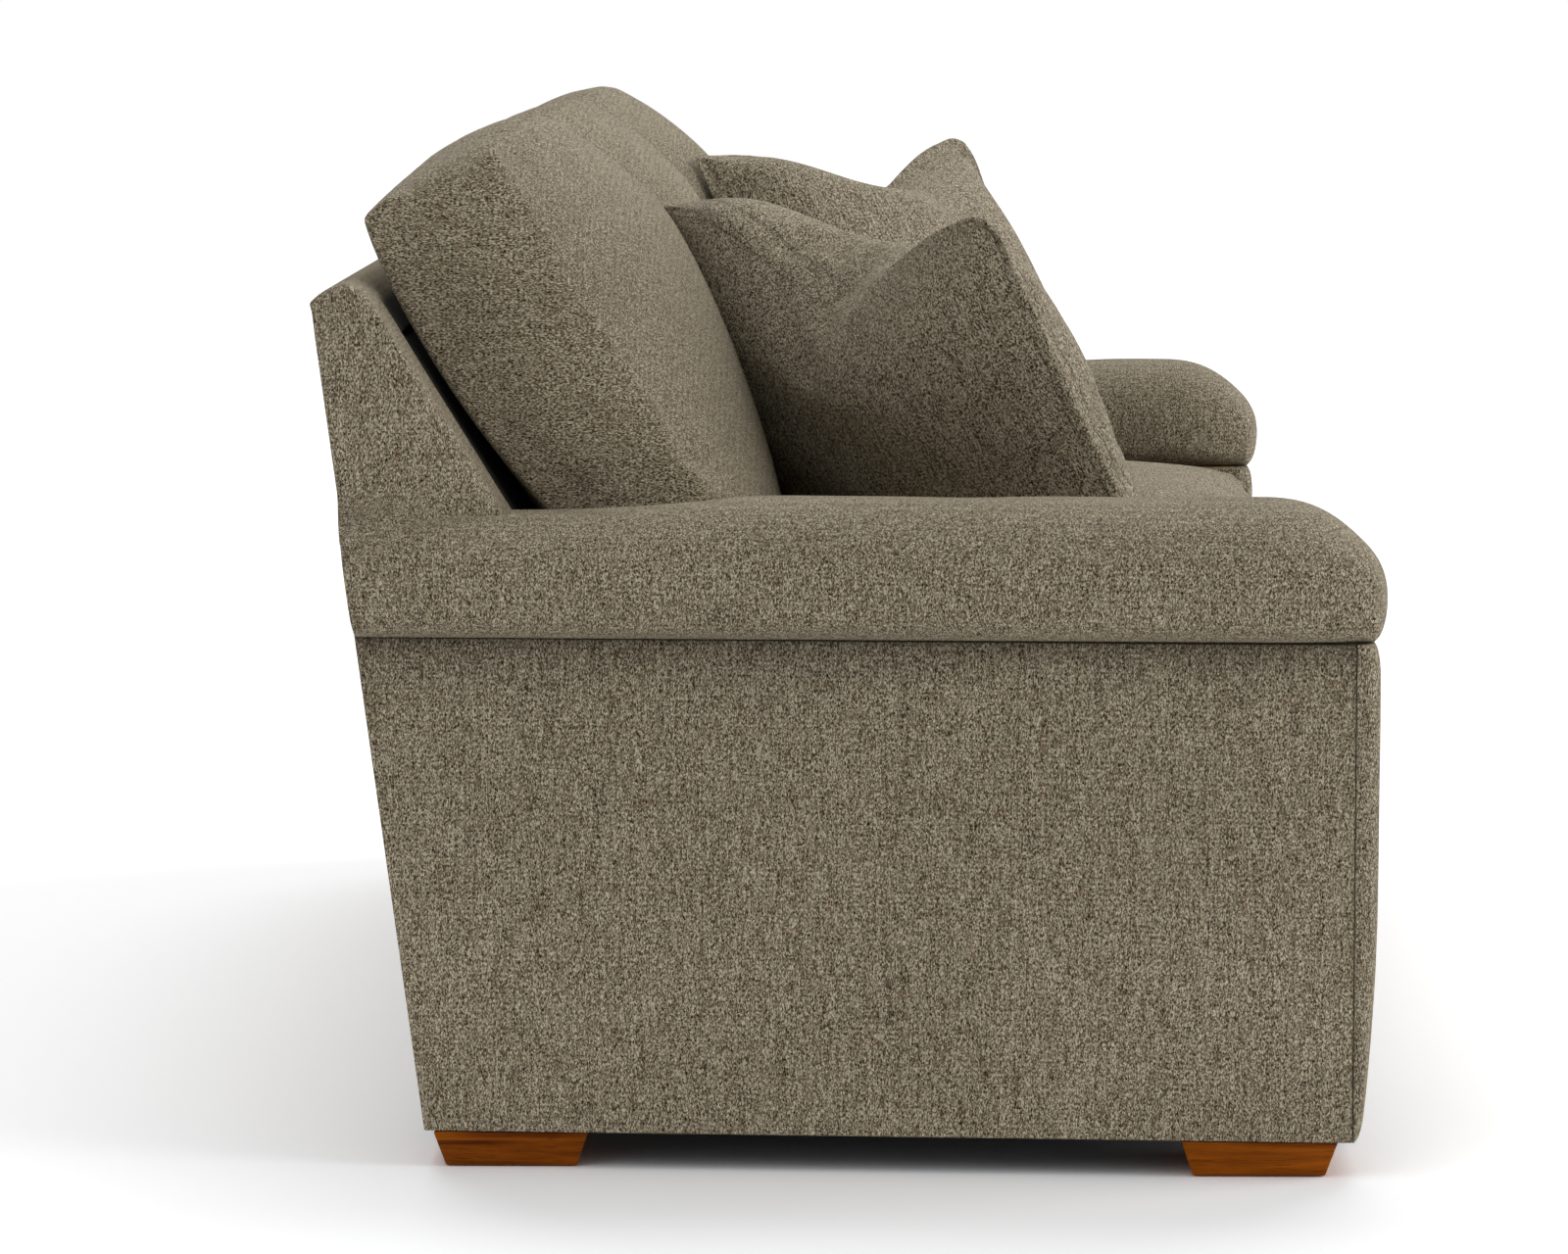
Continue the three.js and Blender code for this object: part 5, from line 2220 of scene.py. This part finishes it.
@dataclass
class Studio:
    """The pale floor, the soft light and the camera."""

    floor_size: float = 60.0
    floor_camera: float = 1.14
    floor_tint: Colour = (0.995, 1.0, 1.017)
    floor_bounce: float = 0.88
    ambient: float = 0.385
    suns: tuple[SoftSun, ...] = (
        SoftSun("front_light", -90, 23, 1.56, 55),
        SoftSun("far_light", 0, 50, 1.60, 50),
        SoftSun("rear_light", 135, 45, 0.56, 50),
    )
    camera_place: tuple[float, float, float] = (-6.922, -0.0351, 1.1231)
    camera_yaw: float = 0.8971
    camera_pitch: float = 5.9742
    camera_lens: float = 145.77
    camera_sensor: float = 36.0
    camera_reach: float = 100.0

    def build(self) -> None:
        """Builds the room."""
        self.build_floor()
        self.build_world()
        for sun in self.suns:
            sun.build()
        self.build_camera()

    @staticmethod
    def seen_directly(shader: Shader) -> Value:
        """Makes a number that is 1 where the camera, gloss or glass looks, and 0 for light that bounces.

        Args:
            shader: The shader that asks.

        Returns:
            The number.
        """
        path = shader.node("ShaderNodeLightPath")
        seen = path.out("Is Camera Ray") + path.out("Is Glossy Ray") + path.out("Is Transmission Ray")
        return shader.node("ShaderNodeMath", {"operation": "MINIMUM"}, {0: seen, 1: 1.0}).out()

    def build_floor(self) -> None:
        """Adds the floor, which keeps the sofa's shadow."""
        mesh = bmesh.new()
        bmesh.ops.create_grid(mesh, x_segments=1, y_segments=1, size=self.floor_size / 2)
        data = bpy.data.meshes.new("studio_floor")
        mesh.to_mesh(data)
        mesh.free()
        shader = Shader.of_material("floor_paint")
        seen = self.seen_directly(shader)
        shown = tuple(self.floor_camera * c for c in self.floor_tint)
        colour = shader.mix(seen, (self.floor_bounce,) * 3, shown)
        diffuse = shader.node("ShaderNodeBsdfDiffuse", {}, {"Color": colour})
        shader.node("ShaderNodeOutputMaterial", {}, {"Surface": diffuse.out()})
        data.materials.append(shader.owner)
        floor = add_object("studio_floor", data)

    def build_world(self) -> None:
        """Adds the even light of the room, which is white where it is seen."""
        shader = Shader(bpy.data.worlds.new("studio_world"))
        path = shader.node("ShaderNodeLightPath")
        rays = {0: path.out("Is Camera Ray"), 1: path.out("Is Glossy Ray")}
        seen = shader.node("ShaderNodeMath", {"operation": "MAXIMUM"}, rays).out()
        light, white = (
            shader.node("ShaderNodeBackground", {}, {"Color": WHITE, "Strength": strength}).out()
            for strength in (self.ambient, 1.0)
        )
        mixed = shader.node("ShaderNodeMixShader", {}, {0: seen, 1: light, 2: white})
        shader.node("ShaderNodeOutputWorld", {}, {"Surface": mixed.out()})
        bpy.context.scene.world = shader.owner

    def build_camera(self) -> None:
        """Adds the camera at the photograph's angle."""
        data = bpy.data.cameras.new("camera")
        data.sensor_width = self.camera_sensor
        data.sensor_fit = "HORIZONTAL"
        data.lens = self.camera_lens
        data.clip_end = self.camera_reach
        camera = add_object("camera", data)
        camera.location = self.camera_place
        looking = direction(self.camera_yaw, -self.camera_pitch)
        camera.rotation_euler = looking.to_track_quat("-Z", "Y").to_euler()
        bpy.context.scene.camera = camera


# ---------------------------------------------------------------- the whole


# How far each back cushion swells forward, and how deep it is at its top, from the left
BACK_FULLNESS: tuple[dict[str, float], ...] = (
    {"crown": 0.0845, "top_depth": 0.1445},
    {"crown": 0.0930, "top_depth": 0.1490},
    {"crown": 0.0980, "top_depth": 0.1530},
)
# How each throw pillow stands in its corner
PILLOW_STANCES: dict[Side, dict[str, float]] = {
    Side.LEFT: {
        "lean": math.radians(35.4),
        "height": 0.449,
        "ear_lift": 0.016,
        "ear_power": 0.84,
        "side_sway": 0.007,
    },
    Side.RIGHT: {
        "lean": math.radians(33.4),
        "height": 0.463,
        "ear_lift": 0.024,
        "ear_power": 0.66,
        "side_sway": 0.0,
    },
}


def fill_all(stuffed: Sequence[StuffedPiece]) -> None:
    """Fills every cushion and pillow, side by side.

    Args:
        stuffed: The pieces to fill.
    """
    scene = bpy.context.scene
    for piece in stuffed:
        piece.fill_cover()
    for frame in range(1, max(piece.stuffing.frames for piece in stuffed) + 1):
        scene.frame_set(frame)
    for piece in stuffed:
        piece.keep_cover()
    scene.frame_set(1)
    for piece in stuffed:
        piece.finish()


def main() -> None:
    """Builds the sofa around its frame."""
    logging.basicConfig(level=logging.INFO, format="%(name)s: %(message)s")
    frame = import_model()
    bpy.context.scene.view_settings.view_transform = "Standard"

    sizes = SofaSizes()
    shop = Workshop(frame["nodes"])
    Studio().build()

    panels = Chenille("panel_chenille")
    cushions = Chenille("cushion_chenille", turn=Grain.FORWARD.value, thread_depth=0.05)
    foot_wood = Wood(
        "foot_walnut", display(84, 35, 3), display(176, 94, 10), Grain.FORWARD.value,
        streaks=90.0, roughness=0.55, specular=0.08,
    )
    hardwood = Wood(
        "frame_hardwood", display(164, 128, 84), display(214, 182, 132), Grain.SIDEWAYS.value,
        streaks=60.0, roughness=0.6,
    )
    # Platform cloth, made very dark so that it also serves as painted shade in the gaps beside the back
    # cushions
    platform = PlainCloth("platform_cloth", display(16, 14, 10), display(38, 34, 27), 700.0)
    felt = PlainCloth("deck_felt", display(48, 46, 43), display(84, 81, 76), 500.0)
    liner = PlainCloth("dust_cloth", display(18, 18, 19), display(42, 42, 43), 900.0)

    arms = [Arm(sizes, side, panels) for side in Side]
    for arm in arms:
        arm.build(shop)
    Back(sizes, arms[1], panels, platform).build(shop)
    SeatBase(sizes, panels, felt, liner).build(shop)
    Feet(sizes, foot_wood).build(shop)
    InnerFrame(hardwood, SpringSteel(), Nylon()).build(shop)

    stuffed: list[StuffedPiece] = []
    for index, fullness in enumerate(BACK_FULLNESS):
        seat, back = f"seat_cushion_{index + 1}", f"back_cushion_{index + 1}"
        stuffed.append(SeatCushion(seat, cushions, 0.8, sizes=sizes, index=index))
        stuffed.append(BackCushion(back, cushions, 0.75, sizes=sizes, index=index, **fullness))
    for side, stance in PILLOW_STANCES.items():
        node = f"throw_pillow_{side.word}"
        pillow = ThrowPillow(node, panels, 0.7, Stuffing(reach=0.008), sizes=sizes, side=side, **stance)
        name = f"pillow_chenille_{side.word}"
        pillow.fabric = Chenille(name, turn=pillow.grain(), pile_colour=display(133, 121, 99), spread=0.11)
        stuffed.append(pillow)
    for piece in stuffed:
        piece.build(shop)
    fill_all(stuffed)


if __name__ == "__main__":
    main()
